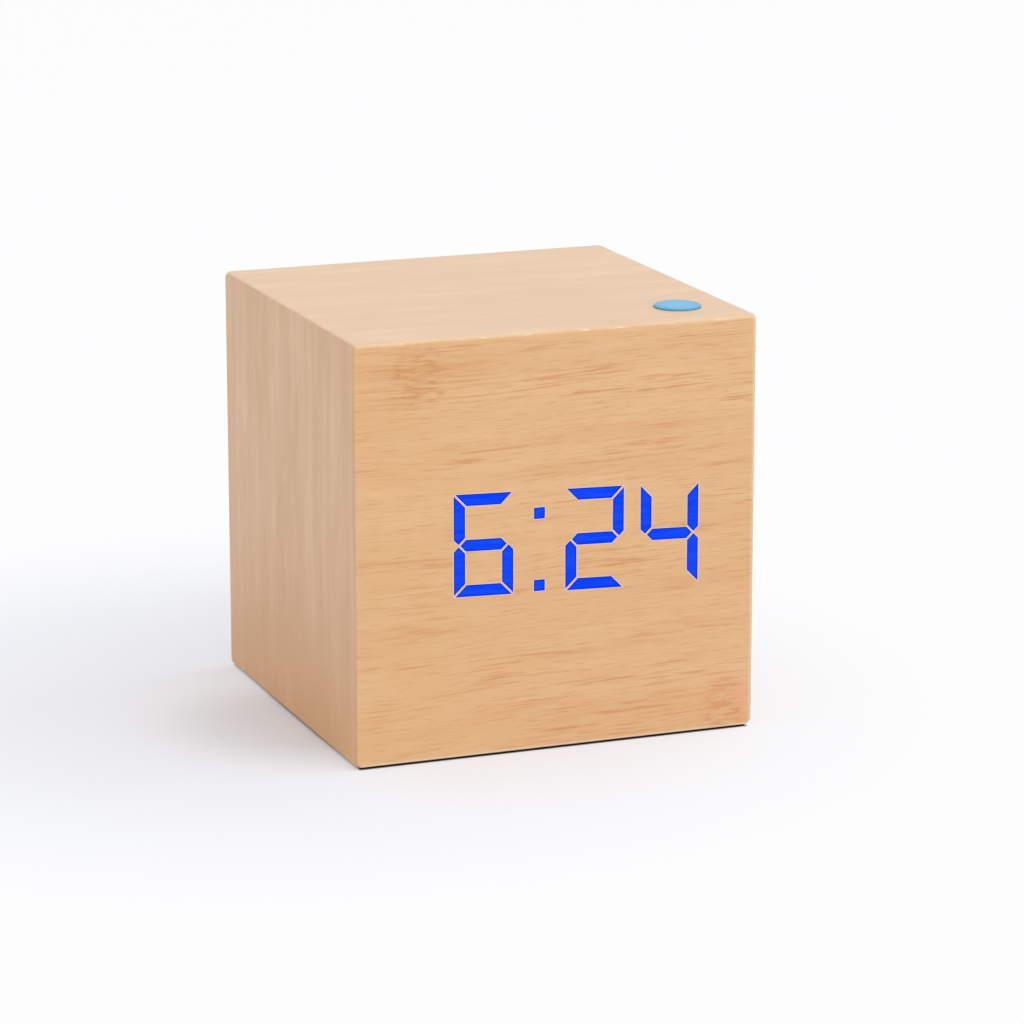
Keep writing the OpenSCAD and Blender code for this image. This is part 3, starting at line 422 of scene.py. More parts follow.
# Each band has its axis, where it starts and where it is full, its greatest share and its tone.
FILM_BANDS = {
    "yellower_left": ("X", 8 * MM, -34 * MM, 0.16, "#e0ae6c"),
    "upper_edge": ("Z", ROOF - 0.62 * MM, ROOF - 0.46 * MM, 1.0, WEAR_AND_HIGHLIGHT),
    # The pale line on the lower edge is a painted highlight of the light from the floor.
    "lower_edge": ("Z", GROUND_GAP + 0.6 * MM, GROUND_GAP + 0.3 * MM, 0.8, WEAR_AND_HIGHLIGHT),
    "left_edge": ("X", cad_low.x + 0.9 * MM, cad_low.x + 0.3 * MM, 0.06, WEAR_AND_HIGHLIGHT),
    "right_edge": ("X", cad_high.x - 0.9 * MM, cad_high.x - 0.2 * MM, 0.45, WEAR_AND_HIGHLIGHT),
}

wear_and_highlight_at = add(tree, "Mapping", {"Vector": place, "Scale": DASH_SIZE}, vector_type="TEXTURE")
wear_and_highlight_noise = add(tree, "TexNoise", {"Vector": wear_and_highlight_at, "Scale": 1.0, "Detail": 4.0})
limits = {"Value": wear_and_highlight_noise, "From Min": 0.50, "From Max": 0.68, "To Min": 0.25, "To Max": 0.9}
dashes = add(tree, "MapRange", limits)
sides = add(tree, "SeparateXYZ", {"Vector": place}).outputs
for name, (axis, start, full, most, tone) in FILM_BANDS.items():
    limits = {"Value": sides[axis], "From Min": start, "From Max": full, "To Max": most}
    share = add(tree, "MapRange", limits, interpolation_type="SMOOTHSTEP")
    if name == "upper_edge":
        share = add(tree, "Math", {0: share, 1: dashes}, operation="MULTIPLY")
    colour = add(tree, "Mix", {"Factor": share, "A": colour, "B": linear(tone)}, data_type="RGBA")
bump = add(tree, "Bump", {**RELIEF, "Height": relief}, invert=True)
feed(tree, shader, Base_Color=colour, Normal=bump)
dress(film, "front_film")

# %% [markdown]
# ### Top, sides and rear
# The other boards have the same print in a quieter tone. The top's tones are paler, a painted sheen for the
# bright surroundings that its lacquer mirrors. Its grain runs from side to side on the top and upright on
# the sides, which are painted darker towards the base: painted shade, where they mirror the shadowed floor.
# The boards are a little darker next to the film. Their lower edges were never coated, so bare fibreboard
# shows from below. One loop prints all four, each from another part of the noise.

# %% Boards and their bands
# The top's paler tones are a painted sheen of the bright surroundings in its lacquer.
TOP_TONES_WITH_PAINTED_SHEEN = ("#f0d0aa", "#e9c49d", "#d3a67d", "#c89468")
SIDE_TONES = ("#efc79d", "#e2b386", "#cc966a", "#c18658")
UPRIGHT = (math.pi / 2, -math.pi / 2, 0)
BOARDS = {
    "top_panel": ((math.pi / 2, 0, math.radians(0.8)), TOP_TONES_WITH_PAINTED_SHEEN, (0.9, 1.0, 0.30, 0.12, 1.0, 1.0)),
    "left_panel": (UPRIGHT, SIDE_TONES, (0.9, 1.0, 0.42, 0.15, 1.0, 1.0)),
    "right_panel": (UPRIGHT, SIDE_TONES, (0.9, 1.0, 0.42, 0.15, 1.0, 1.0)),
    "rear_panel": ((0, math.radians(-0.6), 0), SIDE_TONES, (0.9, 0.8, 0.66, 0.36, 1.0, 1.0)),
}
BOARD_STEP = (31.0, 0.0, 9.0)
BOARD_START = (0.0, 17.0, 0.0)
# As the film's bands. The bare underside goes by the surface's direction, and the others by place.
BOARD_BANDS = {
    # Painted shade: the boards darken towards the base, where they mirror the shadowed floor instead of the
    # white.
    "painted_shade_at_the_base": ("place", "Z", 34 * MM, 0, 0.48, "#dba05c"),
    # A thin darker line on the boards along the film's edge.
    "darker_next_to_the_film": ("place", "Y", FRONT + 0.8 * MM, FRONT + 0.3 * MM, 0.2, "#b98a5e"),
    "bare_underside": ("facing", "Z", -0.90, -0.98, 1.0, "#b48c5f"),
}
print(len(BOARDS), "boards with", ", ".join(BOARD_BANDS))

# %% Print on the boards
for number, (board_name, (turn, tones, strengths)) in enumerate(BOARDS.items()):
    board, tree, shader = new_finish("bamboo_print_" + board_name, **LACQUER)
    offset = [start + step * number for start, step in zip(BOARD_START, BOARD_STEP)]
    colour, relief = bamboo_print(tree, turn, offset, tones, strengths)[:2]
    axes = {
        "place": add(tree, "SeparateXYZ", {"Vector": add(tree, "TexCoord").outputs["Object"]}).outputs,
        "facing": add(tree, "SeparateXYZ", {"Vector": add(tree, "NewGeometry").outputs["Normal"]}).outputs,
    }
    for name, (source, axis, start, full, most, tone) in BOARD_BANDS.items():
        if board_name == "top_panel" and name != "bare_underside":
            continue
        limits = {"Value": axes[source][axis], "From Min": start, "From Max": full, "To Max": most}
        share = add(tree, "MapRange", limits, interpolation_type="SMOOTHSTEP")
        colour = add(tree, "Mix", {"Factor": share, "A": colour, "B": linear(tone)}, data_type="RGBA")
    bump = add(tree, "Bump", {**RELIEF, "Height": relief}, invert=True)
    feed(tree, shader, Base_Color=colour, Normal=bump)
    dress(board, board_name)

# %% [markdown]
# ## Lit digits
# LEDs behind the film light the digits. Lamps inside the clock could do it, but their light would have to
# pass a diffuser and a film and would come out grainy, so the lit zones, which are inlays in the film, take
# an emission of their own.

# %% Lit film
# Film lit from behind is a flat, even blue without a highlight, with a trace of the grain in front of it.
LIT_SURFACE = {
    "Base_Color": linear("#030a30"),
    "Roughness": 0.6,
    "Specular_IOR_Level": 0.0,
    "Emission_Strength": 1.0,
}
LIT_GRAIN = (9 * MM, MM, 0.6 * MM)
LIT_NODES = ("lit_hours", "lit_colon", "lit_tens", "lit_units")

lit, tree, shader = new_finish("lit_film", **LIT_SURFACE)
place = add(tree, "TexCoord").outputs["Object"]
grain_at = add(tree, "Mapping", {"Vector": place, "Scale": LIT_GRAIN}, vector_type="TEXTURE")
streaks = add(tree, "TexNoise", {"Vector": grain_at, "Scale": 1.0, "Detail": 2.0})
streaks = add(tree, "MapRange", {"Value": streaks, "From Min": 0.35, "From Max": 0.65})
tones = {"Factor": streaks, "A": linear("#0a3ef6"), "B": linear("#164dff")}
feed(tree, shader, Emission_Color=add(tree, "Mix", tones, data_type="RGBA"))
dress(lit, *LIT_NODES)

# %% [markdown]
# ## Pieces from points and faces
# Some pieces are finer than their solids: rings of light, cells, springs and wires. Curves and modifiers
# could make them, but points that are worked out in code keep every size exact and leave a plain mesh. One
# function turns points and faces into a piece, with all its faces outwards and its sharp edges kept, and says
# which body carries it.


# %% Meshes and pieces
def new_piece(name, verts, faces, material, slot, body="case", sharp=35):
    """A closed mesh piece in the row frame that rides on a body, smooth except across sharp edges."""
    mesh = bpy.data.meshes.new(name)
    mesh.from_pydata([tuple(v) for v in verts], [], faces)
    shape = bmesh.new()
    shape.from_mesh(mesh)
    bmesh.ops.recalc_face_normals(shape, faces=shape.faces)
    shape.to_mesh(mesh)
    shape.free()
    mesh.materials.append(material)
    mesh.shade_smooth()
    mesh.set_sharp_from_angle(angle=math.radians(sharp))
    piece = bpy.data.objects.new(name, mesh)
    bpy.context.scene.collection.objects.link(piece)
    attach(piece, body)
    print(f"{name}: {len(verts)} points, {len(faces)} faces on {body}")
    return piece


# %% [markdown]
# ## Hems and rims of the lit zones
# The walls of the light wells dim a narrow rim inside each lit zone, and round it some light leaves the film
# sideways and makes a thin pale hem. A gradient in the film's material would need every zone's outline as
# numbers, so hem and rim are flat rings that are built from the outlines of the solids.


# %% Outlines of the lit zones
def zone_outlines(node):
    """Corners of each lit zone's front, in order round its middle. Every zone is convex."""
    shape = bmesh.new()
    shape.from_mesh(nodes[node].data)
    bmesh.ops.remove_doubles(shape, verts=shape.verts, dist=MM / 1000)
    front = [f for f in shape.faces if f.normal.y < -0.9]
    outlines = []
    while front:
        zone, ahead = set(), [front[0]]
        while ahead:
            face = ahead.pop()
            if face in zone:
                continue
            zone.add(face)
            ahead += [f for e in face.edges for f in e.link_faces if f in front]
        front = [f for f in front if f not in zone]
        corners = {v for f in zone for v in f.verts}
        middle = sum((v.co for v in corners), Vector()) / len(corners)
        turn = {v: math.atan2(v.co.z - middle.z, v.co.x - middle.x) for v in corners}
        outlines.append([v.co.copy() for v in sorted(corners, key=turn.get)])
    shape.free()
    return outlines


lit_outlines = {node: zone_outlines(node) for node in LIT_NODES}
print(sum(len(outlines) for outlines in lit_outlines.values()), "lit zones")

# %% Flat rings
RING_PROUD = 0.012 * MM
RING_SUNK = 0.004 * MM


def pushed_out(outline, width):
    """The outline with every side moved outwards by a width, or inwards if that is negative."""
    moved = []
    for before, here, after in zip(outline[-1:] + outline[:-1], outline, outline[1:] + outline[:1]):
        sides = [(here - before).normalized(), (after - here).normalized()]
        out = [Vector((s.z, 0, -s.x)) for s in sides]
        moved.append(here + (out[0] + out[1]) * width / (1 + out[0].dot(out[1])))
    return moved


def flat_rings(outlines, width):
    """Points and faces of a thin flat ring along each outline, proud of the film by a hair."""
    verts, faces = [], []
    for outline in outlines:
        count, start = len(outline), len(verts)
        rings = [(outline, RING_PROUD), (pushed_out(outline, width), RING_PROUD)]
        rings += [(ring, -RING_SUNK) for ring, proud in reversed(rings)]
        for ring, proud in rings:
            verts += [(p.x, FRONT - proud, p.z) for p in ring]
        for r in range(len(rings)):
            for i in range(count):
                a, b = start + r * count, start + (r + 1) % len(rings) * count
                faces.append((a + i, a + (i + 1) % count, b + (i + 1) % count, b + i))
    return verts, faces


# %% Hems and rims
# A hem is less than half as wide as the gap between two zones, so neighbours never overlap.
HEM_W = 0.11 * MM
RIM_W = 0.22 * MM

# Lacquered film with light in it from the side: paler than the print, with the same satin surface.
hem, tree, shader = new_finish("film_lit_from_the_side", Roughness=0.5, IOR=1.48)
place = add(tree, "TexCoord").outputs["Object"]
fibres = add(tree, "TexNoise", {"Vector": place, "Scale": 1 / (0.4 * MM), "Detail": 2.0})
tones = {"Factor": fibres, "A": linear("#e6c6b4"), "B": linear("#efd8cc")}
feed(tree, shader, Base_Color=add(tree, "Mix", tones, data_type="RGBA"))

# The same lit film, deeper blue where the well's wall takes some of the light.
rim, tree, shader = new_finish("lit_film_at_its_edge", **LIT_SURFACE)
place = add(tree, "TexCoord").outputs["Object"]
fibres = add(tree, "TexNoise", {"Vector": place, "Scale": 1 / (0.8 * MM), "Detail": 2.0})
tones = {"Factor": fibres, "A": linear("#0b2fc2"), "B": linear("#0f39dd")}
feed(tree, shader, Emission_Color=add(tree, "Mix", tones, data_type="RGBA"))

for node, outlines in lit_outlines.items():
    new_piece(node + "_hem", *flat_rings(outlines, HEM_W), hem, "wood_film")
    new_piece(node + "_rim", *flat_rings(outlines, -RIM_W), rim, "lit_segment")

# %% [markdown]
# ## Blue button
# The button is moulded in sky blue ABS. Its top is painted a little paler towards its middle, a painted
# highlight, and its side is painted darker in the gap, a painted shade. Both could be painted on by hand, but
# the distance from the button's axis and the height above the top board give them exactly.

# %% Blue button
HIGHLIGHT_RADIUS = 3.9 * MM
PAINTED_SHADE_HEIGHT = 0.2 * MM
BUTTON_GRIT = 0.25 * MM
BUTTON_GRIT_DEPTH = 0.01 * MM
button_low, button_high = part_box("top_button")
button_middle = (button_low + button_high) / 2

# Satin ABS has a soft highlight that a faint grit breaks up; a paler middle and a darker foot are painted
# highlight and shade.
blue_abs, tree, shader = new_finish("sky_blue_abs", Roughness=0.45, IOR=1.45)
place = add(tree, "TexCoord").outputs["Object"]
axis_at = (button_middle.x, button_middle.y, 0)
spot = {"Vector": place, "Location": axis_at, "Scale": (HIGHLIGHT_RADIUS, HIGHLIGHT_RADIUS, 1.0)}
centred = add(tree, "Mapping", spot, vector_type="TEXTURE")
away = add(tree, "VectorMath", {0: centred}, operation="LENGTH").outputs["Value"]
# Painted highlight: the top is paler towards the button's axis.
limits = {"Value": away, "From Min": 0.95, "From Max": 0.25}
painted_highlight = add(tree, "MapRange", limits, interpolation_type="SMOOTHSTEP")
tones = {"Factor": painted_highlight, "A": linear("#64b4de"), "B": linear("#74bfe1")}
colour = add(tree, "Mix", tones, data_type="RGBA")
height = add(tree, "SeparateXYZ", {"Vector": place}).outputs["Z"]
# Painted shade: the side is darker in the gap next to the top board.
limits = {"Value": height, "From Min": ROOF + PAINTED_SHADE_HEIGHT, "From Max": ROOF, "To Max": 0.8}
painted_shade = add(tree, "MapRange", limits, interpolation_type="SMOOTHSTEP")
colour = add(tree, "Mix", {"Factor": painted_shade, "A": colour, "B": linear("#2c5f78")}, data_type="RGBA")
grit = add(tree, "TexNoise", {"Vector": place, "Scale": 1 / BUTTON_GRIT, "Detail": 2.0})
bump = add(tree, "Bump", {"Strength": 0.15, "Distance": BUTTON_GRIT_DEPTH, "Height": grit})
feed(tree, shader, Base_Color=colour, Normal=bump)
dress(blue_abs, "top_button")

# %% [markdown]
# ## Black mouldings
# Base, door and control plate are black ABS from a spark-eroded mould, and the buttons and the power socket
# come from smoother ones. They differ only in tone, gloss and grit, so one loop makes them all from a table.
# The marks at the rear buttons are sunk into the plate and filled with pale paint: no piece of their own, but
# the floor of each mark, found by its depth and by facing outwards.

# %% Kinds of black moulding
# Each has a dark and a paler tone, roughness, grit and its depth in mm, and the nodes that are made so.
MOULDINGS = {
    # Spark erosion leaves an even grit that scatters the light, so the black looks soft and a little grey.
    # The real grit is about 0.1 mm, too fine to show in a picture of the whole clock, and drawn at 0.3 mm.
    "textured_black_abs": (
        ("#1b1b1d", "#232326", 0.55, 0.30, 0.03),
        ("base_plate", "battery_door", "control_plate"),
    ),
    # A polished mould gives a deep black with a clear highlight.
    "polished_black_abs": (
        ("#161617", "#1d1d1f", 0.30, 0.60, 0.004),
        ("dc_socket", "buzzer"),
    ),
    # Buttons are satin and a shade lighter, so that fingers find them on the plate.
    "satin_black_buttons": (
        ("#29292c", "#303034", 0.40, 0.25, 0.01),
        ("set_button", "up_button", "down_button"),
    ),
    # Nylon is dull and waxy, a dark grey rather than black.
    "dark_nylon_plungers": (
        ("#3a3a3c", "#454548", 0.50, 0.40, 0.01),
        ("top_switch_plunger", "set_plunger", "up_plunger", "down_plunger"),
    ),
}
print(len(MOULDINGS), "kinds of black moulding")

# %% Black mouldings
GLOSS_PATCH = 9 * MM
GLOSS_SPREAD = 0.06
MARK_DEPTH = 0.3 * MM
MARK_MARGIN = 0.05 * MM
mark_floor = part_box("control_plate")[1].y - MARK_DEPTH

for name, ((dark, paler, rough, grit_mm, depth_mm), names) in MOULDINGS.items():
    moulding, tree, shader = new_finish(name, IOR=1.53)
    place = add(tree, "TexCoord").outputs["Object"]
    grit = add(tree, "TexNoise", {"Vector": place, "Scale": 1 / (grit_mm * MM), "Detail": 2.0})
    colour = add(tree, "Mix", {"Factor": grit, "A": linear(dark), "B": linear(paler)}, data_type="RGBA")
    if "control_plate" in names:
        depth = add(tree, "SeparateXYZ", {"Vector": place}).outputs["Y"]
        facing = add(tree, "SeparateXYZ", {"Vector": add(tree, "NewGeometry").outputs["Normal"]}).outputs["Y"]
        level = add(tree, "Math", {0: depth, 1: mark_floor, 2: MARK_MARGIN}, operation="COMPARE")
        paint = add(tree, "Math", {0: level, 1: facing}, operation="MULTIPLY", use_clamp=True)
        colour = add(tree, "Mix", {"Factor": paint, "A": colour, "B": linear("#dcdcd8")}, data_type="RGBA")
    wide = add(tree, "TexNoise", {"Vector": place, "Scale": 1 / GLOSS_PATCH, "Detail": 3.0})
    limits = {"Value": wide, "To Min": rough - GLOSS_SPREAD, "To Max": rough + GLOSS_SPREAD}
    gloss = add(tree, "MapRange", limits)
    bump = add(tree, "Bump", {"Strength": 0.6, "Distance": depth_mm * MM, "Height": grit})
    feed(tree, shader, Base_Color=colour, Roughness=gloss, Normal=bump)
    dress(moulding, *names)

# %% [markdown]
# ## Metals
# Screws are zinc plated, contacts nickel plated, switch shells stamped from tin plate, and the socket's pin
# is brass. A metal's colour is its reflection, so each is one shader with full metallic and its own tint.
# Rolling and drawing leave fine lines, which a noise stretched along one axis gives to the roughness.

# %% Kinds of metal
# Each has a dark and a paler tint, its roughness, and the nodes that are made of it.
METALS = {
    # Bright zinc is bluish and a little cloudy.
    "zinc_plated_steel": (
        ("#b4b7bd", "#c6c9ce", 0.34),
        ("led_board_screws", "top_switch_screws", "control_plate_screws", "main_board_screws", "base_screws"),
    ),
    # Nickel is warmer and brighter.
    "nickel_plated_steel": (
        ("#c3c3bf", "#d3d3d0", 0.26),
        ("contact_positive", "contact_negative", "contact_bridge_front", "contact_bridge_rear"),
    ),
    # Tin plate is dull and grey from the press.
    "stamped_tin_plate": (
        ("#a9acb1", "#bbbec3", 0.42),
        ("top_switch", "set_switch", "up_switch", "down_switch"),
    ),
    # A drawn can is smooth and mirrors its surroundings.
    "drawn_steel_can": (("#bfc2c6", "#cdd0d4", 0.24), ("crystal",)),
    # Brass from the lathe is yellow and bright.
    "turned_brass": (("#c2a95c", "#d2bb74", 0.25), ("dc_socket_pin",)),
}
print(len(METALS), "kinds of metal")

# %% Metals
# Real lines are a few hundredths of a millimetre wide, too fine to show, and drawn at 0.2 mm.
METAL_LINES = (3 * MM, 0.2 * MM, 0.2 * MM)
LINE_GLOSS = 0.1

metals = {}
for name, ((dark, paler, rough), names) in METALS.items():
    metals[name], tree, shader = new_finish(name, Metallic=1.0)
    place = add(tree, "TexCoord").outputs["Object"]
    drawn = add(tree, "Mapping", {"Vector": place, "Scale": METAL_LINES}, vector_type="TEXTURE")
    lines = add(tree, "TexNoise", {"Vector": drawn, "Scale": 1.0, "Detail": 3.0})
    tint = add(tree, "Mix", {"Factor": lines, "A": linear(dark), "B": linear(paler)}, data_type="RGBA")
    limits = {"Value": lines, "To Min": rough - LINE_GLOSS, "To Max": rough + LINE_GLOSS}
    feed(tree, shader, Base_Color=tint, Roughness=add(tree, "MapRange", limits))
    dress(metals[name], *names)

# %% [markdown]
# ## Rubber feet
# The feet are soft black rubber that has picked up a little dust. Dust could be scattered as grains, but at
# this size it only greys the rubber in patches, so a noise mixes two greys and roughens the surface.

# %% Rubber feet
DUST_PATCH = 1.2 * MM
DUST_DEPTH = 0.03 * MM

# Moulded rubber is quite matt, without a highlight.
rubber, tree, shader = new_finish("soft_black_rubber", Roughness=0.88, IOR=1.5)
place = add(tree, "TexCoord").outputs["Object"]
dust = add(tree, "TexNoise", {"Vector": place, "Scale": 1 / DUST_PATCH, "Detail": 4.0})
dust = add(tree, "MapRange", {"Value": dust, "From Min": 0.45, "From Max": 0.75})
greys = add(tree, "Mix", {"Factor": dust, "A": linear("#222224"), "B": linear("#3b3a39")}, data_type="RGBA")
bump = add(tree, "Bump", {"Strength": 0.4, "Distance": DUST_DEPTH, "Height": dust})
feed(tree, shader, Base_Color=greys, Normal=bump)
dress(rubber, "foot_front_left", "foot_front_right", "foot_rear_left", "foot_rear_right")


# %% [markdown]
# ## Cells
# Behind the battery door lie three AAA cells: a drawn steel can with a raised nub at one end, in a thin
# foil sleeve that curls over both shoulders. Round pieces like these come from a lathe, so a profile is
# turned about the cell's axis. Can and sleeve are separate pieces, because they are on the real cell.


# %% Turned pieces
def turned(profile, at, way, ring=False, steps=56):
    """Points and faces of a profile of (radius, distance) pairs in mm, turned about an axis along Y."""
    verts, starts = [], []
    for radius, distance in profile:
        starts.append(len(verts))
        for k in range(steps if radius > 0 else 1):
            turn = 2 * math.pi * k / steps
            spoke = Vector((math.cos(turn), 0, math.sin(turn))) * radius * MM
            verts.append(at + spoke + Vector((0, way * distance * MM, 0)))
    faces = []
    count = len(profile)
    for i in range(count if ring else count - 1):
        j = (i + 1) % count
        a, b = starts[i], starts[j]
        for k in range(steps):
            k2 = (k + 1) % steps
            if profile[i][0] == 0:
                faces.append((a, b + k2, b + k))
            elif profile[j][0] == 0:
                faces.append((a + k, a + k2, b))
            else:
                faces.append((a + k, a + k2, b + k2, b + k))
    return verts, faces


# %% Profiles of can and sleeve
# Radius and distance from the nub's face, in mm.
CELL_L = 44.5
NUB = [(0, 0), (1.6, 0), (1.85, 0.12), (1.9, 0.3), (1.9, 0.95), (2.5, 1.0), (3.9, 1.0), (4.3, 0.98)]
CAN_WALL = [(4.8, 1.25), (5.12, 1.8), (5.12, 43.6), (4.8, 44.15)]
CAN_END = [(4.2, 44.28), (3.5, 44.22), (3.2, CELL_L), (0, CELL_L)]
SLEEVE_OUT = [(4.5, 0.98), (4.9, 1.1), (5.17, 1.36), (5.25, 1.75)]
SLEEVE_OUT += [(5.25, 43.7), (5.17, 44.08), (4.9, 44.32), (4.5, 44.4)]
SLEEVE_T = 0.09
SHOULDER_R = 5

sleeve_in = []
for radius, distance in SLEEVE_OUT:
    inset = SLEEVE_T if distance < CELL_L / 2 else -SLEEVE_T
    sleeve_in.append((radius - SLEEVE_T if radius > SHOULDER_R else radius, distance + inset))
can_profile = NUB + CAN_WALL + CAN_END
sleeve_profile = SLEEVE_OUT + sleeve_in[::-1]
print(f"profiles of {len(can_profile)} and {len(sleeve_profile)} points")

# %% Cells
# Lacquered foil shrunk on the can: silver with a broken shine, because it crinkles along the cell.
FOIL_CRINKLE = (MM, 14 * MM, MM)
foil, tree, shader = new_finish("foil_sleeve", Metallic=0.85, IOR=1.5)
place = add(tree, "TexCoord").outputs["Object"]
crinkle_at = add(tree, "Mapping", {"Vector": place, "Scale": FOIL_CRINKLE}, vector_type="TEXTURE")
crinkle = add(tree, "TexNoise", {"Vector": crinkle_at, "Scale": 1.0, "Detail": 3.0})
tones = {"Factor": crinkle, "A": linear("#8f949c"), "B": linear("#b3b7bd")}
silver = add(tree, "Mix", tones, data_type="RGBA")
gloss = add(tree, "MapRange", {"Value": crinkle, "To Min": 0.22, "To Max": 0.5})
feed(tree, shader, Base_Color=silver, Roughness=gloss)

# The middle cell lies the other way round, as in a row of three in series.
for number in (1, 2, 3):
    node = f"battery_{number}"
    low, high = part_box(node)
    way = -1 if number == 2 else 1
    nub = Vector(((low.x + high.x) / 2, low.y if way == 1 else high.y, (low.z + high.z) / 2))
    can_shape = turned(can_profile, nub, way)
    can = new_piece(node + "_can", *can_shape, metals["nickel_plated_steel"], "nickel_contact")
    sleeve_shape = turned(sleeve_profile, nub, way, ring=True)
    sleeve = new_piece(node + "_sleeve", *sleeve_shape, foil, "cell_jacket")
    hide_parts(node)
    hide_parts(node)

# %% [markdown]
# ## Contact springs
# Each cell is pressed by a conical spring of plated wire. A screw modifier could wind it, but a round wire
# carried along a helix is as short to write and is used again for the leads. The helix tightens towards the
# cell and has a flat turn at its wide end, where it is fixed to the contact.


# %% Wires
def ring_profile(radius, sides=12):
    """A circle as (side, up) pairs."""
    turns = [2 * math.pi * k / sides for k in range(sides)]
    return [(radius * math.cos(turn), radius * math.sin(turn)) for turn in turns]


def swept(path, profile, up):
    """Points and faces of a profile of (side, up) pairs carried along a path and closed at both ends."""
    verts, count, last = [], len(profile), len(path) - 1
    for i, here in enumerate(path):
        ahead = (path[min(i + 1, last)] - path[max(i - 1, 0)]).normalized()
        side = ahead.cross(up).normalized()
        up = side.cross(ahead)
        verts += [here + side * a + up * b for a, b in profile]
    faces = [
        (i * count + k, i * count + (k + 1) % count, (i + 1) * count + (k + 1) % count, (i + 1) * count + k)
        for i in range(last)
        for k in range(count)
    ]
    faces += [tuple(range(count)), tuple(last * count + k for k in reversed(range(count)))]
    return verts, faces


# %% Path of a spring
SPRING_WIRE = 0.5 * MM
SPRING_WIDE = 3.4 * MM
SPRING_NARROW = 2.2 * MM
SPRING_TURNS = 3
FLAT_TURNS = 0.75
STEPS_PER_TURN = 28


def spring_path(foot, tip):
    """A conical helix from a contact's face to a cell's end, both on the cell's axis."""
    rise = tip.y - foot.y
    way = math.copysign(1, rise)
    room = abs(rise) - SPRING_WIRE
    path = []
    steps = int((FLAT_TURNS + SPRING_TURNS) * STEPS_PER_TURN)
    for i in range(steps + 1):
        turns = i / STEPS_PER_TURN
        share = max(0, turns - FLAT_TURNS) / SPRING_TURNS
        radius = SPRING_WIDE + (SPRING_NARROW - SPRING_WIDE) * share
        turn = 2 * math.pi * turns
        along = way * (SPRING_WIRE / 2 + room * share)
        path.append(foot + Vector((radius * math.cos(turn), along, radius * math.sin(turn))))
    return path


# %% Springs
front_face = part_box("contact_bridge_front")[1].y
rear_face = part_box("contact_bridge_rear")[0].y
for number in (1, 2, 3):
    low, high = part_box(f"battery_{number}")
    middle_x, middle_z = (low.x + high.x) / 2, (low.z + high.z) / 2
    foot_y, tip_y = (front_face, low.y) if number == 2 else (rear_face, high.y)
    path = spring_path(Vector((middle_x, foot_y, middle_z)), Vector((middle_x, tip_y, middle_z)))
    spring = new_piece(
        f"contact_spring_{number}",
        *swept(path, ring_profile(SPRING_WIRE / 2), Vector((0, 1, 0))),
        metals["nickel_plated_steel"],
        "nickel_contact",
    )
    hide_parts("battery_springs")

# %% [markdown]
# ## Circuit boards
# The boards are glass fibre with green lacquer over copper tracks. Real tracks follow a circuit. Here the
# edges of a cell pattern stand for them, because only their spacing of about 2.5 mm shows.

# %% Circuit boards
TRACK_PITCH = 2.5 * MM
TRACK_HEIGHT = 0.035 * MM

# Solder lacquer is glossy, deep green over the fibre and lighter where copper lies under it.
tracks_board, tree, shader = new_finish("green_lacquered_board", Roughness=0.32, IOR=1.55)
place = add(tree, "TexCoord").outputs["Object"]
edges = add(tree, "TexVoronoi", {"Vector": place, "Scale": 1 / TRACK_PITCH}, feature="DISTANCE_TO_EDGE")
track = add(tree, "MapRange", {"Value": edges.outputs["Distance"], "From Min": 0.14, "From Max": 0.09})
green = add(tree, "Mix", {"Factor": track, "A": linear("#1a5c34"), "B": linear("#2f8250")}, data_type="RGBA")
bump = add(tree, "Bump", {"Strength": 0.5, "Distance": TRACK_HEIGHT, "Height": track})
feed(tree, shader, Base_Color=green, Normal=bump)
dress(tracks_board, "led_board", "top_switch_board", "main_board")

# %% [markdown]
# ## Display and inner boards
# Behind the film are a fibreboard front, a frosted sheet that spreads the light, a white mask with a well for
# each segment, and the LEDs. Each is a plain pale material with a speckle of its own size, so one loop makes
# them from a table, as for the black mouldings.

# %% Moulded and pressed inner pieces
# Each has a dark and a paler tone, roughness, speckle and its depth in mm, and the nodes that are made of it.
INNER = {
    # Moulded white ABS throws the light of the LEDs forward.
    "white_abs_mask": (("#ecebe6", "#f3f3f0", 0.5, 0.3, 0.01), ("segment_mask", "top_switch_spacers")),
    # Frosted polyester is milky and matt. Its frosting is finer than the 0.2 mm it is drawn at.
    "frosted_polyester": (("#eeeeea", "#f8f8f6", 0.6, 0.2, 0.006), ("diffuser_sheet",)),
    # Cast resin over the LED's phosphor is yellowish and glossy.
    "led_resin": (("#e6dba4", "#f4eecb", 0.25, 0.5, 0.004), ("segment_leds",)),
    # Pressed fibreboard is brown and dull, like felt.
    "bare_fibreboard": (("#b08a5e", "#c8a476", 0.85, 0.6, 0.05), ("front_panel", "side_blocks")),
}
for name, ((dark, paler, rough, speck_mm, depth_mm), names) in INNER.items():
    inner, tree, shader = new_finish(name, Roughness=rough, IOR=1.5)
    place = add(tree, "TexCoord").outputs["Object"]
    speck = add(tree, "TexNoise", {"Vector": place, "Scale": 1 / (speck_mm * MM), "Detail": 3.0})
    colour = add(tree, "Mix", {"Factor": speck, "A": linear(dark), "B": linear(paler)}, data_type="RGBA")
    bump = add(tree, "Bump", {"Strength": 0.5, "Distance": depth_mm * MM, "Height": speck})
    feed(tree, shader, Base_Color=colour, Normal=bump)
    dress(inner, *names)

# %% [markdown]
# ## Microcontroller and capacitors
# The microcontroller is a black resin block with tinned legs, and the capacitors are aluminium cans in a
# blue sleeve whose tops stay bare. Each is one solid, so instead of two materials a mask by place or
# direction parts resin or sleeve from metal.

# %% Microcontroller
LEG_REACH = 1.5 * MM
RESIN_SPECK = 0.3 * MM
chip_low, chip_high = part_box("microcontroller")
body_half = (chip_high.z - chip_low.z) / 2 - LEG_REACH

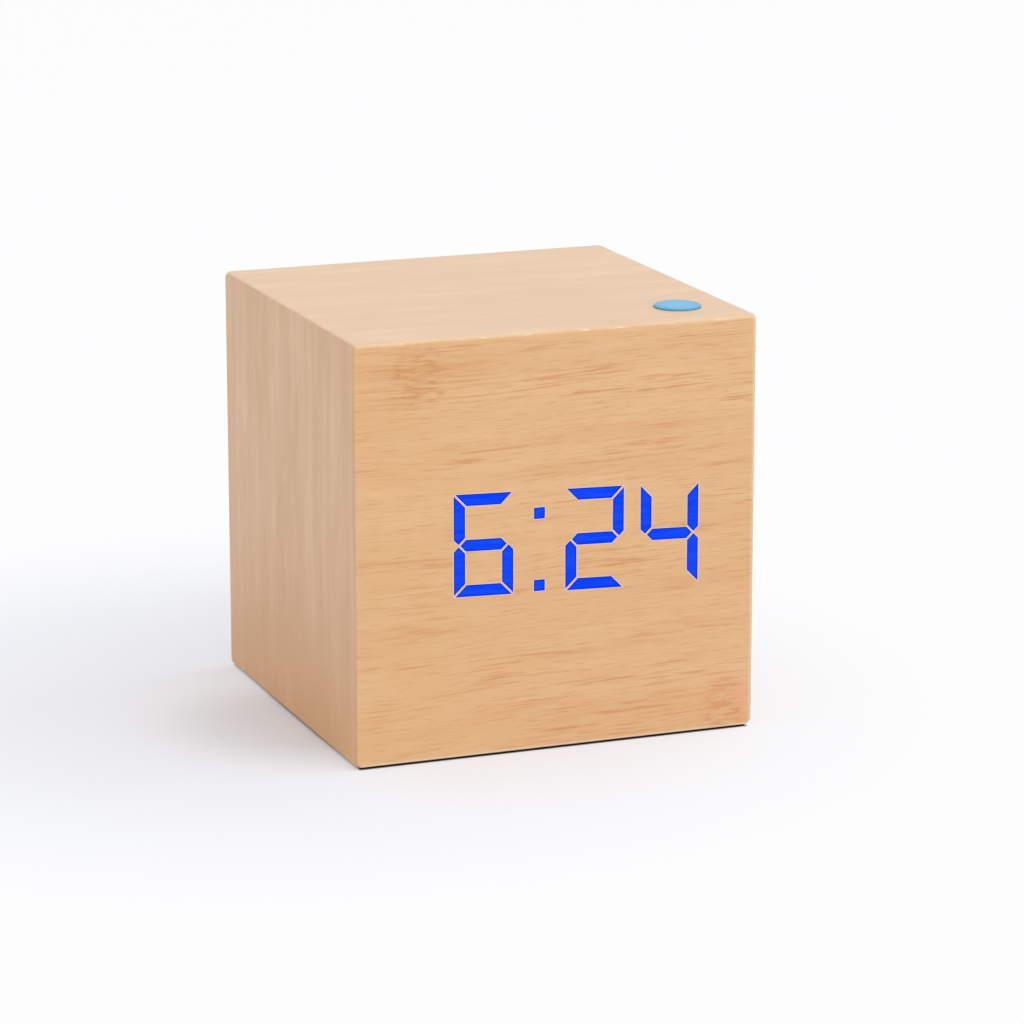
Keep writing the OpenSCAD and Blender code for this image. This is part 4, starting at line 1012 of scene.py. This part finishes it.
# Filled resin is a dull black, and tinned legs are bright.
resin, tree, shader = new_finish("resin_and_tinned_legs", IOR=1.5)
place = add(tree, "TexCoord").outputs["Object"]
centred = add(tree, "VectorMath", {0: place, 1: (chip_low + chip_high) / 2}, operation="SUBTRACT")
off_middle = add(tree, "VectorMath", {0: centred}, operation="ABSOLUTE")
across = add(tree, "SeparateXYZ", {"Vector": off_middle}).outputs["Z"]
leg = add(tree, "Math", {0: across, 1: body_half}, operation="GREATER_THAN")
speck = add(tree, "TexNoise", {"Vector": place, "Scale": 1 / RESIN_SPECK, "Detail": 2.0})
black = add(tree, "Mix", {"Factor": speck, "A": linear("#1b1b1d"), "B": linear("#29292b")}, data_type="RGBA")
colour = add(tree, "Mix", {"Factor": leg, "A": black, "B": linear("#c4c6c8")}, data_type="RGBA")
gloss = add(tree, "MapRange", {"Value": leg, "To Min": 0.55, "To Max": 0.3})
feed(tree, shader, Base_Color=colour, Metallic=leg, Roughness=gloss)
dress(resin, "microcontroller")

# %% Capacitors
SLEEVE_SPECK = 0.8 * MM

# A shrunk vinyl sleeve is glossy dark blue, and the can's bare top is pale metal.
sleeved, tree, shader = new_finish("blue_sleeve_on_aluminium", IOR=1.5)
place = add(tree, "TexCoord").outputs["Object"]
facing = add(tree, "SeparateXYZ", {"Vector": add(tree, "NewGeometry").outputs["Normal"]}).outputs["Y"]
bare = add(tree, "Math", {0: facing, 1: -0.9}, operation="LESS_THAN")
speck = add(tree, "TexNoise", {"Vector": place, "Scale": 1 / SLEEVE_SPECK, "Detail": 2.0})
blue = add(tree, "Mix", {"Factor": speck, "A": linear("#22345c"), "B": linear("#2f4678")}, data_type="RGBA")
colour = add(tree, "Mix", {"Factor": bare, "A": blue, "B": linear("#c9cbce")}, data_type="RGBA")
gloss = add(tree, "MapRange", {"Value": speck, "To Min": 0.25, "To Max": 0.4})
feed(tree, shader, Base_Color=colour, Metallic=bare, Roughness=gloss)
dress(sleeved, "capacitors")

# %% [markdown]
# ## Wiring
# Leads join cells, boards and switch. Each is a soft PVC tube that leaves its ends straight and bends
# between them. Blender's own curves could draw them, but a Bezier path that is worked out here takes the same
# ends as the solid, and the wire function of the springs then makes the tube.

# %% Paths of the leads
# Each lead has its start, the way out of it, its end and the way out of that, in mm.
LEADS = {
    "battery_lead_red": ((-10.9, -24.6, 16.85), (0, 1, 0), (-16.0, 19.5, 22.35), (0, -1, 0)),
    "battery_lead_black": ((10.9, 24.6, 16.85), (0, -1, 0), (16.0, 19.5, 22.35), (0, -1, 0)),
    "top_switch_lead_left": ((17.3, -17.45, 56.6), (0, 0, -1), (16.7, 19.5, 46.35), (0, -1, 0)),
    "top_switch_lead_right": ((19.9, -17.45, 56.6), (0, 0, -1), (19.3, 19.5, 46.35), (0, -1, 0)),
    "led_ribbon": ((0, -24.65, 39.4), (0, 1, 0), (0, 19.5, 48.35), (0, -1, 0)),
}
LEAD_STEPS = 40
LEAD_STUB = 1.0
LEAD_REACH = 14.125


def lead_path(start, start_way, end, end_way):
    """Points in metres along a lead that leaves both ends straight."""
    start, start_way, end, end_way = [Vector(v) for v in (start, start_way, end, end_way)]
    a, b = start + start_way * LEAD_STUB, start + start_way * LEAD_REACH
    c, d = end + end_way * LEAD_REACH, end + end_way * LEAD_STUB
    bend = []
    for i in range(LEAD_STEPS + 1):
        t = i / LEAD_STEPS
        bend.append(a * (1 - t) ** 3 + b * 3 * t * (1 - t) ** 2 + c * 3 * t * t * (1 - t) + d * t**3)
    return [p * MM for p in [start, *bend, end]]


lead_paths = {name: lead_path(*route) for name, route in LEADS.items()}
print(", ".join(f"{name} of {len(path)} points" for name, path in lead_paths.items()))

# %% [markdown]
# The ribbon to the LED board has ten conductors side by side, one of them red. They could be ten tubes that
# touch, but the real ribbon is one moulding, so its profile is a row of ridges.

# %% Ribbon's profile
RIBBON_WAYS = 10
RIBBON_PITCH = 1.2
RIBBON_STEPS = 6
# Shares of the thickness: what the web between two conductors has, and what a conductor adds.
RIBBON_WEB = 0.55
RIBBON_RIDGE = 0.45


def ribbon_profile(thick):
    """Ridges of a ribbon as (side, up) pairs in metres: thick over each conductor and thin between."""
    steps = RIBBON_STEPS * RIBBON_WAYS
    half = RIBBON_WAYS * RIBBON_PITCH / 2
    upper = []
    for i in range(steps + 1):
        across = i / steps * 2 * half - half
        swell = RIBBON_WEB + RIBBON_RIDGE * abs(math.sin(math.pi * (across + half) / RIBBON_PITCH))
        upper.append((across * MM, thick * swell * MM))
    return upper + [(a, -b) for a, b in reversed(upper)]


first_way = (RIBBON_PITCH - RIBBON_WAYS * RIBBON_PITCH / 2) * MM
print(f"ribbon {RIBBON_WAYS * RIBBON_PITCH:.0f} mm wide, red up to {first_way / MM:.1f} mm")

# %% Leads and ribbon
# Each has its colour, slot, radius in mm and the node that it stands for.
PVC = {
    "battery_lead_red": ("#a01818", "red_pvc", 0.65, "battery_lead_red"),
    "battery_lead_black": ("#18181a", "black_pvc", 0.65, "battery_lead_black"),
    "top_switch_lead_left": ("#84878c", "ribbon_pvc", 0.52, "top_switch_leads"),
    "top_switch_lead_right": ("#84878c", "ribbon_pvc", 0.52, "top_switch_leads"),
    "led_ribbon": ("#94979c", "ribbon_pvc", 0.45, "led_ribbon"),
}
SMUDGE_SIZE = 2 * MM
for name, (tone, slot, radius, node) in PVC.items():
    # Extruded PVC is smooth and waxy, with pale smudges where it was handled.
    pvc, tree, shader = new_finish("pvc_" + name, Roughness=0.45, IOR=1.52)
    place = add(tree, "TexCoord").outputs["Object"]
    smudge = add(tree, "TexNoise", {"Vector": place, "Scale": 1 / SMUDGE_SIZE, "Detail": 2.0})
    mark = add(tree, "MapRange", {"Value": smudge, "To Max": 0.25})
    colour = add(tree, "Mix", {"Factor": mark, "A": linear(tone), "B": linear("#d8d8d8")}, data_type="RGBA")
    profile, up = ring_profile(radius * MM), Vector((1, 0, 0))
    if name == "led_ribbon":
        sideways = add(tree, "SeparateXYZ", {"Vector": place}).outputs["X"]
        red = add(tree, "Math", {0: sideways, 1: first_way}, operation="LESS_THAN")
        colour = add(tree, "Mix", {"Factor": red, "A": colour, "B": linear("#a83030")}, data_type="RGBA")
        profile, up = ribbon_profile(radius), Vector((0, 0, 1))
    feed(tree, shader, Base_Color=colour)
    piece_name = name if name not in nodes else name + "_wire"
    lead = new_piece(piece_name, *swept(lead_paths[name], profile, up), pvc, slot)
    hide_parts(node)

# %% [markdown]
# ## Size and finish
# The box of the dressed clock is measured again, to set beside the box of its solids. The dressed clock may
# not outgrow its solids.

# %% Size and finish
low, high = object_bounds()
